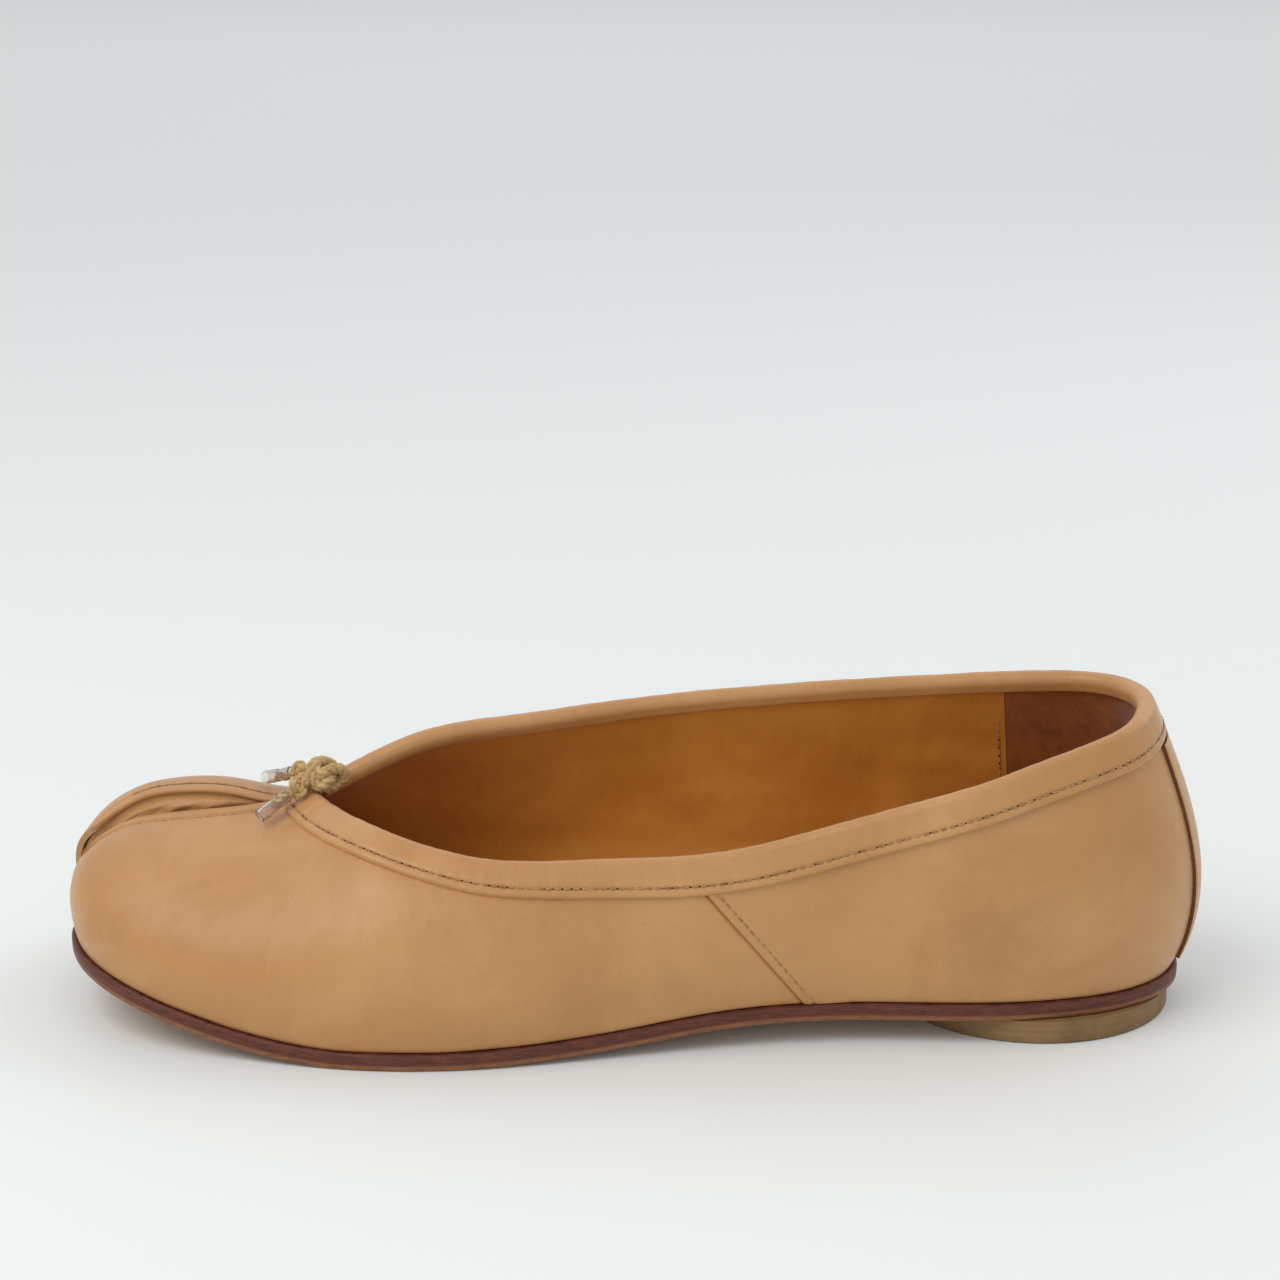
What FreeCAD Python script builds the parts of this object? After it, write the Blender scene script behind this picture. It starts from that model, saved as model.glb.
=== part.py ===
import FreeCAD, Part
import math
import os
import Sketcher

# Left split-toe ballet slipper, millimetres.
# Toe to -X, heel to +X, outer side of the foot to -Y, +Z up, floor at z = 0.

V = FreeCAD.Vector
doc = FreeCAD.newDocument("ballet_slipper")

# ---------------------------------------------------------------- sizes
SIZES = [
    ("sole_length", 243.2, "feather line, toe to heel"),
    ("ball_width", 86.2, "feather line across the ball"),
    ("back_height", 66.0, "floor to the upper edge at the back"),
    ("lift_thick", 5.2, "heel disc"),
    ("lift_radius", 30.4, "heel disc"),
    ("sole_thick", 3.6, "outsole"),
    ("leather_thick", 1.3, "vamp and quarters"),
    ("lining_thick", 0.8, "leather lining"),
    ("stiffener_thick", 1.0, "toe puff and heel counter"),
    ("insole_thick", 1.6, "insole board"),
    ("sock_thick", 0.8, "sock lining"),
    ("binding_thick", 0.9, "topline binding"),
    ("binding_leg", 5.4, "outer leg of the binding"),
    ("binding_inner_leg", 0.6, "inner leg of the binding"),
    ("cord_dia", 1.9, "drawcord"),
    ("glue_gap", 0.15, "between neighbouring layers"),
    ("margin_width", 9.0, "lasting margin under the insole"),
    ("stitch_pitch", 1.9, "stitch length with its gap"),
    ("aglet_dia", 3.0, "cord tip tube"),
    ("aglet_length", 8.0, "cord tip tube"),
    ("nail_dia", 1.3, "heel nails"),
]
sheet = doc.addObject("Spreadsheet::Sheet", "Sizes")
for row, (name, value, note) in enumerate(SIZES, start=1):
    sheet.set("A%d" % row, name)
    sheet.set("B%d" % row, str(value))
    sheet.set("C%d" % row, note)
    sheet.setAlias("B%d" % row, name)
doc.recompute()


def size(name):
    return float(sheet.get(name))


LEATHER = size("leather_thick")
GAP = size("glue_gap")
LINING = size("lining_thick")
STIFF = size("stiffener_thick")
SOLE = size("sole_thick")
LIFT = size("lift_thick")
KX = size("sole_length") / 243.2
KY = size("ball_width") / 86.2
KZ = (size("back_height") - SOLE - LIFT) / 57.2


# ---------------------------------------------------------------- curves
def spline(ts, rows):
    """Natural cubic spline through rows of values."""
    n = len(ts)
    h = [ts[i + 1] - ts[i] for i in range(n - 1)]
    bends = []
    for k in range(len(rows[0])):
        y = [r[k] for r in rows]
        low = [0.0] * n
        mid = [1.0] * n
        up = [0.0] * n
        rhs = [0.0] * n
        for i in range(1, n - 1):
            low[i] = h[i - 1]
            mid[i] = 2 * (h[i - 1] + h[i])
            up[i] = h[i]
            rhs[i] = 6 * ((y[i + 1] - y[i]) / h[i] - (y[i] - y[i - 1]) / h[i - 1])
        for i in range(1, n):
            w = low[i] / mid[i - 1]
            mid[i] -= w * up[i - 1]
            rhs[i] -= w * rhs[i - 1]
        m = [0.0] * n
        m[-1] = rhs[-1] / mid[-1]
        for i in range(n - 2, -1, -1):
            m[i] = (rhs[i] - up[i] * m[i + 1]) / mid[i]
        bends.append(m)

    def at(t):
        i = 0
        while i < n - 2 and t > ts[i + 1]:
            i += 1
        a = (ts[i + 1] - t) / h[i]
        b = (t - ts[i]) / h[i]
        out = []
        for k in range(len(rows[0])):
            m = bends[k]
            wave = ((a ** 3 - a) * m[i] + (b ** 3 - b) * m[i + 1]) * h[i] ** 2 / 6
            out.append(a * rows[i][k] + b * rows[i + 1][k] + wave)
        return out

    return at


def smooth(a, b, t):
    """0 below a, 1 above b."""
    u = min(1.0, max(0.0, (t - a) / (b - a)))
    return u * u * (3 - 2 * u)


def mix(a, b, t):
    return a + (b - a) * t


def lerp(p, q, t):
    return V(mix(p.x, q.x, t), mix(p.y, q.y, t), mix(p.z, q.z, t))


# height of the sole's underside along the shoe; the toe springs up, the waist rises to the heel
SPRING = [(-130, 15.0), (-116, 11.0), (-100, 6.8), (-82, 2.4), (-62, 0.0), (-40, 0.0)]
WAIST = [(-20, 0.15), (0, 0.48), (20, 0.885), (40, 1.0), (57, 1.0), (80, 1.0), (124, 1.0)]
rows = [(x * KX, z) for x, z in SPRING] + [(x * KX, share * LIFT) for x, share in WAIST]
under = spline([r[0] for r in rows], [(r[1],) for r in rows])


def sole_low(x):
    return max(0.0, under(max(-130 * KX, min(124 * KX, x)))[0])


def sole_top(x):
    return sole_low(x) + SOLE


# stations: foot point F (x, y), guide point R (x, y, z) on top,
# handle share and lean at the foot, handle share and slope at the top, topline height
HEEL = (117.6, 0, 103, 0, 86, 0.36, 62, 0.35, 72, 66.0)
LATERAL = [
    (-122.5, -3.5, -120.5, 1.3, 33, 0.50, 72, 0.40, 50, 46),
    (-121.0, -12, -113, 1.7, 37.6, 0.60, 73, 0.50, 18, 47),
    (-115.3, -22.3, -103, 1.3, 40.2, 0.60, 75, 0.54, 8, 47.5),
    (-103, -32, -91, 1.2, 41.4, 0.60, 76, 0.54, 9, 46.6),
    (-83, -38.8, -76, 1.5, 43.8, 0.58, 77, 0.52, 15, 44.8),
    (-58, -43.8, -57, -5, 51.5, 0.55, 77, 0.50, 20, 43.8),
    (-34, -43.6, -34, -9.5, 56.5, 0.50, 77, 0.46, 36, 39.4),
    (-8, -38.2, -8, -14, 62.5, 0.45, 77, 0.40, 54, 38.7),
    (20, -32, 20, -17, 68.5, 0.42, 77, 0.36, 66, 39.9),
    (46, -29, 46, -19, 74, 0.42, 76, 0.35, 72, 46.1),
    (72, -29.5, 70, -19, 79, 0.40, 74, 0.35, 74, 53.0),
    (94, -26.2, 87, -16, 83, 0.38, 70, 0.35, 74, 59.2),
    (110.5, -16.5, 98.5, -12, 85, 0.36, 64, 0.35, 74, 63.2),
]
MEDIAL = [
    (110.5, 16.5, 98.5, 12, 85, 0.36, 64, 0.35, 74, 65.9),
    (94, 26, 87, 16, 83.5, 0.38, 68, 0.35, 76, 65.0),
    (72, 27.5, 70, 19, 81, 0.40, 68, 0.35, 78, 63.5),
    (47, 23, 47, 20, 77, 0.42, 62, 0.35, 78, 62.1),
    (22, 20.5, 21, 20, 73, 0.42, 56, 0.36, 76, 60.2),
    (-3, 22.5, -5, 18, 69, 0.42, 56, 0.38, 66, 57.8),
    (-27, 30, -30, 13.5, 63.5, 0.45, 64, 0.42, 48, 55.4),
    (-50, 38.5, -53, 8, 56, 0.50, 71, 0.48, 26, 52.0),
    (-72, 42.4, -74, 3.2, 44.6, 0.56, 74, 0.52, 2, 44.9),
    (-93, 41, -88, 4.6, 44.8, 0.60, 74, 0.57, -14, 49),
    (-110.5, 35, -101, 5.8, 45.0, 0.60, 73, 0.57, -11, 49),
    (-121, 25, -112, 7.6, 41.6, 0.60, 72, 0.52, 0, 48),
    (-124.8, 15, -120.6, 8.4, 35.2, 0.50, 71, 0.40, 34, 46),
]
STATIONS = LATERAL + [HEEL] + MEDIAL


def grow(z):
    """Heights above the heel seat grow with the back height."""
    return LIFT + SOLE + (z - 8.8) * KZ


table = []
for fx, fy, rx, ry, rz, k0, b0, k1, b1, top in STATIONS:
    table.append((fx * KX, fy * KY, rx * KX, ry * KY, grow(rz), k0, b0, k1, b1, grow(top)))
arc = [0.0]
for a, b in zip(table, table[1:]):
    arc.append(arc[-1] + math.hypot(b[0] - a[0], b[1] - a[1]))
heel_arc = arc[len(LATERAL)]
arc = [a - heel_arc for a in arc]
S_LAT = arc[0]
S_MED = arc[-1]
station = spline(arc, table)


def throat(inside, beyond):
    """Station where the topline meets the cleft."""
    for _ in range(40):
        m = (inside + beyond) / 2
        st = station(m)
        if st[9] < st[4]:
            inside = m
        else:
            beyond = m
    return inside


S_THROAT_LAT = throat(arc[6], arc[3])
S_THROAT_MED = throat(arc[len(LATERAL) + 7], arc[len(LATERAL) + 10])


def clamp_s(s):
    return max(S_LAT, min(S_MED, s))


def foot_frame(s):
    a = station(clamp_s(s - 0.5))
    b = station(clamp_s(s + 0.5))
    c = station(s)
    tx = b[0] - a[0]
    ty = b[1] - a[1]
    n = math.hypot(tx, ty)
    return c[0], c[1], ty / n, -tx / n


def foot(s, inset, above):
    """Point beside the feather line: inset inward, above the sole's top."""
    x, y, nx, ny = foot_frame(s)
    px = x - nx * inset
    return V(px, y - ny * inset, sole_top(px) + above)


def wall(s, v):
    """Outer face of the upper."""
    fx, fy, rx, ry, rz, k0, b0, k1, b1, top = station(s)
    nx, ny = foot_frame(s)[2:]
    z0 = sole_top(fx)
    height = rz - z0
    wide = math.hypot(rx - fx, ry - fy)
    lean = math.radians(b0)
    slope = math.radians(b1)
    dx = (fx - rx) / wide
    dy = (fy - ry) / wide
    w = smooth(0.0, 25.0, wide)
    ex = mix(nx, dx, w)
    ey = mix(ny, dy, w)
    n = math.hypot(ex, ey)
    h0 = k0 * height
    h1 = k1 * (wide * math.cos(slope) + height * math.sin(slope))
    p1x = fx + h0 * math.cos(lean) * nx
    p1y = fy + h0 * math.cos(lean) * ny
    p2x = rx + h1 * math.cos(slope) * ex / n
    p2y = ry + h1 * math.cos(slope) * ey / n
    c0 = (1 - v) ** 3
    c1 = 3 * v * (1 - v) ** 2
    c2 = 3 * v * v * (1 - v)
    c3 = v ** 3
    x = c0 * fx + c1 * p1x + c2 * p2x + c3 * rx
    y = c0 * fy + c1 * p1y + c2 * p2y + c3 * ry
    z = c0 * z0 + c1 * (z0 + h0 * math.sin(lean)) + c2 * (rz - h1 * math.sin(slope)) + c3 * rz
    return V(x, y, z)


def wall_normal(s, v):
    along = wall(clamp_s(s + 0.4), v) - wall(clamp_s(s - 0.4), v)
    upward = wall(s, min(1.0, v + 0.01)) - wall(s, max(0.0, v - 0.01))
    return along.cross(upward).normalize()


def skin(s, v, depth):
    """Point at a depth under the outer face."""
    return wall(s, v) - wall_normal(s, v) * depth


def v_at_height(s, z):
    """Share of the wall at a height over the floor."""
    low = 0.0
    for i in range(1, 61):
        high = i / 60.0
        if wall(s, high).z > z:
            for _ in range(24):
                m = (low + high) / 2
                if wall(s, m).z > z:
                    high = m
                else:
                    low = m
            return high
        low = high
    return 1.0


top_share = {}


def v_top(s):
    key = round(s, 4)
    if key not in top_share:
        st = station(s)
        top_share[key] = 1.0 if st[9] >= st[4] else v_at_height(s, st[9])
    return top_share[key]


def s_at_x(x, side):
    """Station on one side whose foot point is at x."""
    lo = 0.0
    hi = S_LAT if side < 0 else S_MED
    for _ in range(40):
        m = (lo + hi) / 2
        if station(m)[0] > x:
            lo = m
        else:
            hi = m
    return (lo + hi) / 2


# ---------------------------------------------------------------- solids from grids
def bend_rows(ts, rows):
    """Second derivatives of the natural spline through rows of points."""
    n = len(ts)
    h = [ts[i + 1] - ts[i] for i in range(n - 1)]
    mid = [1.0] * n
    up = [0.0] * n
    rhs = [V(0, 0, 0) for _ in range(n)]
    for i in range(1, n - 1):
        mid[i] = 2 * (h[i - 1] + h[i])
        up[i] = h[i]
        rhs[i] = ((rows[i + 1] - rows[i]) * (1 / h[i]) - (rows[i] - rows[i - 1]) * (1 / h[i - 1])) * 6
    for i in range(1, n):
        low = h[i - 1] if i < n - 1 else 0.0
        w = low / mid[i - 1]
        mid[i] -= w * up[i - 1]
        rhs[i] = rhs[i] - rhs[i - 1] * w
    m = [V(0, 0, 0)] * n
    m[-1] = rhs[-1] * (1 / mid[-1])
    for i in range(n - 2, -1, -1):
        m[i] = (rhs[i] - m[i + 1] * up[i]) * (1 / mid[i])
    return h, m


def poles_through(ts, pts):
    """Control points of the cubic spline that passes through the points."""
    h, m = bend_rows(ts, pts)
    n = len(pts)
    start = (pts[1] - pts[0]) * (1 / h[0]) - (m[0] * 2 + m[1]) * (h[0] / 6)
    end = (pts[-1] - pts[-2]) * (1 / h[-1]) + (m[-2] + m[-1] * 2) * (h[-1] / 6)
    out = [pts[0], pts[0] + start * (h[0] / 3)]
    for i in range(1, n - 1):
        slope = (pts[i + 1] - pts[i]) * (1 / h[i]) - (m[i] * 2 + m[i + 1]) * (h[i] / 6)
        out.append(pts[i] + slope * ((h[i] - h[i - 1]) / 3) - m[i] * (h[i - 1] * h[i] / 6))
    out.append(pts[-1] - end * (h[-1] / 3))
    out.append(pts[-1])
    return out


def chord_knots(lines):
    """Shared knots: mean distance between neighbours over all lines."""
    ts = [0.0]
    for i in range(1, len(lines[0])):
        ts.append(ts[-1] + sum((g[i] - g[i - 1]).Length for g in lines) / len(lines))
    return ts


def knots_of(lines):
    """Shared knots of one or more grids, along and across."""
    return chord_knots([list(col) for col in zip(*lines)]), chord_knots(lines)


def grid_surface(grid, knots):
    us, vs = knots
    across = [poles_through(vs, line) for line in grid]
    poles = [poles_through(us, list(col)) for col in zip(*across)]
    poles = [list(line) for line in zip(*poles)]
    surf = Part.BSplineSurface()
    u_mults = [4] + [1] * (len(us) - 2) + [4]
    v_mults = [4] + [1] * (len(vs) - 2) + [4]
    surf.buildFromPolesMultsKnots(poles, u_mults, v_mults, us, vs, False, False, 3, 3)
    return surf


def border(surf, side):
    u0, u1, v0, v1 = surf.bounds()
    if side == 0:
        return surf.uIso(u0).toShape()
    if side == 1:
        return surf.uIso(u1).toShape()
    if side == 2:
        return surf.vIso(v0).toShape()
    return surf.vIso(v1).toShape()


def solid_between(outer, inner):
    """Solid between two grids of the same size."""
    knots = knots_of(outer)
    a = grid_surface(outer, knots)
    b = grid_surface(inner, knots)
    faces = [a.toShape(), b.toShape()]
    for side in range(4):
        faces.append(Part.makeRuledSurface(border(a, side), border(b, side), 1))
    skin_shape = Part.makeCompound(faces)
    skin_shape.sewShape(1e-3)
    body = Part.makeSolid(skin_shape.Shells[0])
    if body.Volume < 0:
        body.reverse()
    return body


def node(label, shape):
    feature = doc.addObject("Part::Feature", label)
    feature.Label = label
    feature.Shape = shape
    feature.Placement = FreeCAD.Placement(V(0, 0, 0), FreeCAD.Rotation(0, 0, 0))
    return feature


nodes = []


def spread(n):
    return [i / (n - 1.0) for i in range(n)]


MARGIN = size("margin_width")
# inset and height of the turn at the feather line, on the outer face and on the inner face
TURN = [(MARGIN, 0, MARGIN, 0), (0.55 * MARGIN, 0, 0.55 * MARGIN, 0),
        (2.4, 0, 3.2, 0), (1.0, 0.1, 2.3, 0.05), (0.3, 0.6, 1.6, 0.35)]


def margin_line(s, depth):
    """Lasting margin at a depth in the leather, from its edge to the turn."""
    share = depth / LEATHER
    line = []
    for out, out_high, inn, in_high in TURN:
        line.append(foot(s, mix(out, inn, share), GAP + depth + mix(out_high, in_high, share)))
    return line


def panel(s_lo, s_hi, cols, rows, outer_depth, inner_depth, start):
    """Upper panel with its lasting margin; s limits and depths may change up the wall."""
    outer = []
    inner = []
    for c in cols:
        s0 = mix(s_lo(0.0), s_hi(0.0), c)
        line_out = margin_line(s0, max(0.0, outer_depth(s0, 0.0)))
        line_in = margin_line(s0, inner_depth(s0, 0.0))
        for w in rows:
            s = mix(s_lo(w), s_hi(w), c)
            foot_v = v_at_height(s, sole_top(station(s)[0]) + start)
            v = mix(foot_v, v_top(s), w)
            line_out.append(skin(s, v, outer_depth(s, w)))
            line_in.append(skin(s, v, inner_depth(s, w)))
        outer.append(line_out)
        inner.append(line_in)
    return solid_between(outer, inner)


# ---------------------------------------------------------------- upper
SEAM_LAP = 7.0
seam_lat = (s_at_x(35 * KX, -1), s_at_x(11 * KX, -1))
seam_med = (s_at_x(35 * KX, 1), s_at_x(11 * KX, 1))


def seam_s(seam, w):
    """The side seam slants forward up the wall."""
    return mix(seam[0], seam[1], w)


def even(start, stop, n):
    return [mix(start, stop, i / (n - 1.0)) for i in range(n)]


def columns(long_part, marks, length):
    """Even columns plus extra columns at distances from the seam end."""
    out = list(long_part)
    for m in marks:
        out.append(1.0 - m / length)
    return sorted(set(round(c, 5) for c in out))


ROWS = [0.0, 0.06, 0.14, 0.24, 0.35, 0.46, 0.57, 0.68, 0.78, 0.87, 0.94, 1.0]
MARKS = [0.0, 3.0, 5.5, 6.6, 7.4, 8.6, 11.0]
SKIVE = 0.75


def vamp(side):
    seam = seam_lat if side < 0 else seam_med
    end = S_LAT if side < 0 else S_MED
    reach = SEAM_LAP * (1 if side < 0 else -1)
    length = abs(seam[0] - end) + SEAM_LAP

    def past(s, w):
        """Distance past the seam line, toward the heel."""
        return (s - seam_s(seam, w)) * (1 if side < 0 else -1)

    def outer_depth(s, w):
        return SKIVE * smooth(-1.2, 0.4, past(s, w))

    def inner_depth(s, w):
        return LEATHER

    cols = columns(even(0.0, 1.0 - 13.0 / length, 34), MARKS, length)
    if side < 0:
        return panel(lambda w: end, lambda w: seam_s(seam, w) + reach,
                     cols, ROWS, outer_depth, inner_depth, 1.9)
    return panel(lambda w: seam_s(seam, w) + reach, lambda w: end,
                 [1.0 - c for c in reversed(cols)], ROWS, outer_depth, inner_depth, 1.9)


def quarter(side):
    seam = seam_lat if side < 0 else seam_med
    middle = -0.12 if side < 0 else 0.12
    length = abs(seam[0])

    def past(s, w):
        return (s - seam_s(seam, w)) * (1 if side < 0 else -1)

    def outer_depth(s, w):
        return -0.3 * (1 - smooth(3.0, 14.0, past(s, w))) * (1 - smooth(0.5, 0.68, w))

    def inner_depth(s, w):
        return mix(SKIVE - GAP, LEATHER, smooth(7.6, 10.0, past(s, w)))

    back = [0.6 / length, 1.6 / length, 3.0 / length]
    cols = columns(even(0.0, 1.0 - 15.0 / length, 24) + back, [0, 3, 6, 7.6, 8.8, 10, 12], length)
    cols = [1.0 - c for c in reversed(cols)]
    if side < 0:
        return panel(lambda w: seam_s(seam, w), lambda w: middle,
                     cols, ROWS, outer_depth, inner_depth, 1.9)
    return panel(lambda w: middle, lambda w: seam_s(seam, w),
                 [1.0 - c for c in reversed(cols)], ROWS, outer_depth, inner_depth, 1.9)


nodes.append(node("vamp_lateral", vamp(-1)))
nodes.append(node("vamp_medial", vamp(1)))
nodes.append(node("quarter_lateral", quarter(-1)))
nodes.append(node("quarter_medial", quarter(1)))


# ---------------------------------------------------------------- split between the toes
CLEFT = [(-122.3, -3.1), (-121.9, -0.4), (-119.2, 2.2), (-115, 3.3), (-110.5, 4.0), (-107.6, 5.6),
         (-110.5, 7.2), (-115, 7.9), (-120, 9.0), (-123.6, 11.4), (-124.6, 14.6)]
cleft = [(x * KX, y * KY) for x, y in CLEFT]
cleft_arc = [0.0]
for a, b in zip(cleft, cleft[1:]):
    cleft_arc.append(cleft_arc[-1] + math.hypot(b[0] - a[0], b[1] - a[1]))
cleft_curve = spline(cleft_arc, cleft)


def wall_speed(s, v):
    return (wall(s, v) - wall(s, v - 0.02)).Length / 0.02


TUCK = LEATHER + GAP + 0.05
LAP_U = 0.10


def lobe_s(u):
    """Station on the split's edge; u runs down one side and up the other."""
    if u < 0.5:
        return mix(S_LAT, S_THROAT_LAT - 3.0, u / 0.5)
    return mix(S_THROAT_MED + 3.0, S_MED, (u - 0.5) / 0.5)


def cleft_point(u, t):
    """Face of the split between the toes; u round the split, t from the top down."""
    s = lobe_s(u)
    top = skin(s, 1.0, TUCK)
    x, y = cleft_curve(u * cleft_arc[-1])
    low = V(x, y, sole_top(x) + 0.3)
    dx = low.x - top.x
    height = top.z - low.z
    lean = smooth(4.0, 24.0, abs(dx))
    p1 = top + V(0.42 * dx * lean, 0.4 * (low.y - top.y), -mix(0.35, 0.10, lean) * height)
    p2 = low + V(-0.06 * dx, 0, mix(0.35, 0.55, lean) * height)
    point = top * (1 - t) ** 3 + p1 * 3 * t * (1 - t) ** 2 + p2 * 3 * t * t * (1 - t) + low * t ** 3
    near = min(u, 1 - u)
    if near < LAP_U:
        out = smooth(0.0, LAP_U, near)
        edge_s = mix(S_LAT + 1.2 if u < 0.5 else S_MED - 1.2, s, out * (1 - t) ** 2)
        foot_v = v_at_height(edge_s, sole_top(station(edge_s)[0]) + 1.9)
        edge = skin(edge_s, mix(mix(0.985, 1.0, out), foot_v, t), TUCK + 0.25)
        point = lerp(edge, point, out)
    return point


def gusset():
    us = [0.0, 0.035, 0.07, 0.11, 0.16, 0.22, 0.28, 0.34, 0.39, 0.43, 0.46, 0.485]
    us = us + [0.5] + [1 - u for u in reversed(us)]
    ts = even(0.0, 1.0, 13)
    face = [[cleft_point(u, t) for t in ts] for u in us]
    for k in range(len(ts)):
        face[12][k] = (face[11][k] + face[13][k]) * 0.5 + V(0.5 + 0.5 * (1 - ts[k]), 0, 0)
    back = []
    for i in range(len(us)):
        line = []
        for k in range(len(ts)):
            along = face[min(i + 1, len(us) - 1)][k] - face[max(i - 1, 0)][k]
            down = face[i][min(k + 1, len(ts) - 1)] - face[i][max(k - 1, 0)]
            lean = wall_normal(lobe_s(us[i]), 1.0) * (1.7 * (1 - smooth(0.0, 0.35, ts[k])))
            inward = (along.cross(down).normalize() + lean).normalize()
            line.append(face[i][k] - inward * 0.9)
        back.append(line)
    return solid_between(face, back)


nodes.append(node("toe_gusset", gusset()))

# ---------------------------------------------------------------- inside the upper
LINING_FOOT = 4.4


def on_lining(s, w):
    """Extra depth where a stiffener sits under the lining."""
    x = station(s)[0] / KX
    toe = 1 - smooth(-98.0, -90.0, x)
    heel = smooth(54.0, 62.0, x) * (1 - smooth(0.60, 0.76, w))
    return (STIFF + GAP) * (toe + heel)


TIP = 4.5
SHORT = 3.2


def edge_share(s):
    """Upper limit of inside layers: the topline, or short of the split, which leans under the tips."""
    lateral = 1 - smooth(4.0, 26.0, s - S_LAT)
    medial = 1 - smooth(4.0, 26.0, S_MED - s)
    short = SHORT + 4.0 * lateral + 6.5 * medial
    return min(v_top(s), 1.0 - short / wall_speed(s, 1.0))


def layer(s_a, s_b, n, w_lo, w_hi, outer_depth, thick, m=11):
    outer = []
    inner = []
    for s in even(s_a, s_b, n):
        foot_v = v_at_height(s, sole_top(station(s)[0]) + LINING_FOOT)
        high = edge_share(s)
        out = []
        inn = []
        for w in even(w_lo, w_hi, m):
            v = mix(foot_v, high, w)
            out.append(skin(s, v, outer_depth(s, w)))
            inn.append(skin(s, v, outer_depth(s, w) + thick))
        outer.append(out)
        inner.append(inn)
    return solid_between(outer, inner)


def lining_depth(s, w):
    return LEATHER + GAP + on_lining(s, w)


def stiff_depth(s, w):
    return LEATHER + GAP


GRIP_X = 85 * KX
grip_lat = s_at_x(GRIP_X, -1)
grip_med = s_at_x(GRIP_X, 1)
nodes.append(node("lining_lateral",
                  layer(S_LAT + TIP, grip_lat, 50, 0, 1, lining_depth, LINING)))
nodes.append(node("lining_medial",
                  layer(grip_med, S_MED - TIP, 50, 0, 1, lining_depth, LINING)))
nodes.append(node("heel_grip",
                  layer(grip_lat + 0.25, grip_med - 0.25, 34, 0, 1, lining_depth, LINING)))
counter_lat = s_at_x(64 * KX, -1)
counter_med = s_at_x(64 * KX, 1)
nodes.append(node("heel_counter",
                  layer(counter_lat, counter_med, 44, 0, 0.58, stiff_depth, STIFF, 8)))
puff_lat = s_at_x(-99.5 * KX, -1)
puff_med = s_at_x(-99.5 * KX, 1)
nodes.append(node("toe_puff_lateral",
                  layer(S_LAT + TIP, puff_lat, 14, 0, 0.9, stiff_depth, STIFF, 9)))
nodes.append(node("toe_puff_medial",
                  layer(puff_med, S_MED - TIP, 14, 0, 0.9, stiff_depth, STIFF, 9)))

# ---------------------------------------------------------------- back strip
LEG = size("binding_leg")
BIND = size("binding_thick")


def back_stay():
    outer = []
    inner = []
    for s in even(-8.6, 8.6, 15):
        low = v_at_height(s, 11.5)
        high = v_top(s) - (LEG + 0.6) / wall_speed(s, v_top(s))
        out = []
        inn = []
        for w in even(0, 1, 9):
            v = mix(low, high, w)
            out.append(skin(s, v, -2 * GAP - 0.9))
            inn.append(skin(s, v, -2 * GAP))
        outer.append(out)
        inner.append(inn)
    return solid_between(outer, inner)


nodes.append(node("back_stay", back_stay()))


# ---------------------------------------------------------------- topline binding and drawcord
def graded(a, b, first, step):
    """Distances from a to b that grow from a small first step to an even step."""
    out = [a]
    d = first
    sign = 1 if b > a else -1
    while abs(b - out[-1]) > 1.6 * d:
        out.append(out[-1] + sign * d)
        d = min(step, d * 1.45)
    return out


def top_point(s):
    return wall(s, v_top(s))


def nearest(point, s, v):
    """Surface address nearest a point."""
    for _ in range(7):
        p = wall(s, v)
        ds = (wall(clamp_s(s + 0.3), v) - wall(clamp_s(s - 0.3), v)) * (1 / 0.6)
        dv = (wall(s, min(1.0, v + 0.01)) - wall(s, v - 0.01)) * (1 / (min(1.0, v + 0.01) - v + 0.01))
        gap = point - p
        a = ds.dot(ds)
        b = ds.dot(dv)
        c = dv.dot(dv)
        e = gap.dot(ds)
        f = gap.dot(dv)
        det = a * c - b * b
        s = clamp_s(s + (e * c - f * b) / det)
        v = max(0.02, min(1.0, v + (a * f - b * e) / det))
    return s, v


OPEN_END = 2.2
lat_s = graded(S_THROAT_LAT + OPEN_END, 0.0, 0.5, 5.0)
med_s = graded(S_THROAT_MED - OPEN_END, 0.0, 0.5, 5.0)
top_s = lat_s + [0.0] + list(reversed(med_s))
ROLL_IN = (LEATHER + GAP + LINING + 2 * GAP) / 2
ROLL_OUT = ROLL_IN + BIND
ROLL_RISE = 1.2
INNER_LEG = size("binding_inner_leg")
frames = []
for i, s in enumerate(top_s):
    p = top_point(s)
    before = top_point(top_s[max(0, i - 1)])
    after = top_point(top_s[min(len(top_s) - 1, i + 1)])
    t = (after - before).normalize()
    n = wall_normal(s, v_top(s))
    up = n.cross(t).normalize()
    centre = p + n * (GAP - ROLL_IN) + up * ROLL_RISE
    frames.append((s, p, t, n, up, centre))


def binding_line(frame, lift, roll, leg):
    """One section of the binding: outer leg, roll over the cord, inner leg."""
    s, p, t, n, up, centre = frame
    out = []
    v0 = v_top(s)
    for share in (1.0, 0.8, 0.58, 0.36, 0.16):
        a, v = nearest(p - up * (leg * share), s, v0)
        out.append(wall(a, v) + wall_normal(a, v) * lift)
    for angle in (0, 22, 45, 68, 90, 112, 135, 158, 180):
        turn = math.radians(angle)
        out.append(centre + n * (roll * math.cos(turn)) + up * (roll * math.sin(turn)))
    depth = 2 * roll - lift
    for drop in (0.0, INNER_LEG):
        a, v = nearest(p - up * drop, s, v0)
        out.append(wall(a, v) - wall_normal(a, v) * depth)
    return out


def leg_at(s):
    """The outer leg narrows toward the throat."""
    far = min(s - S_THROAT_LAT, S_THROAT_MED - s)
    return mix(0.9 * LEG, LEG, smooth(0.0, 10.0, far))


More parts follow.
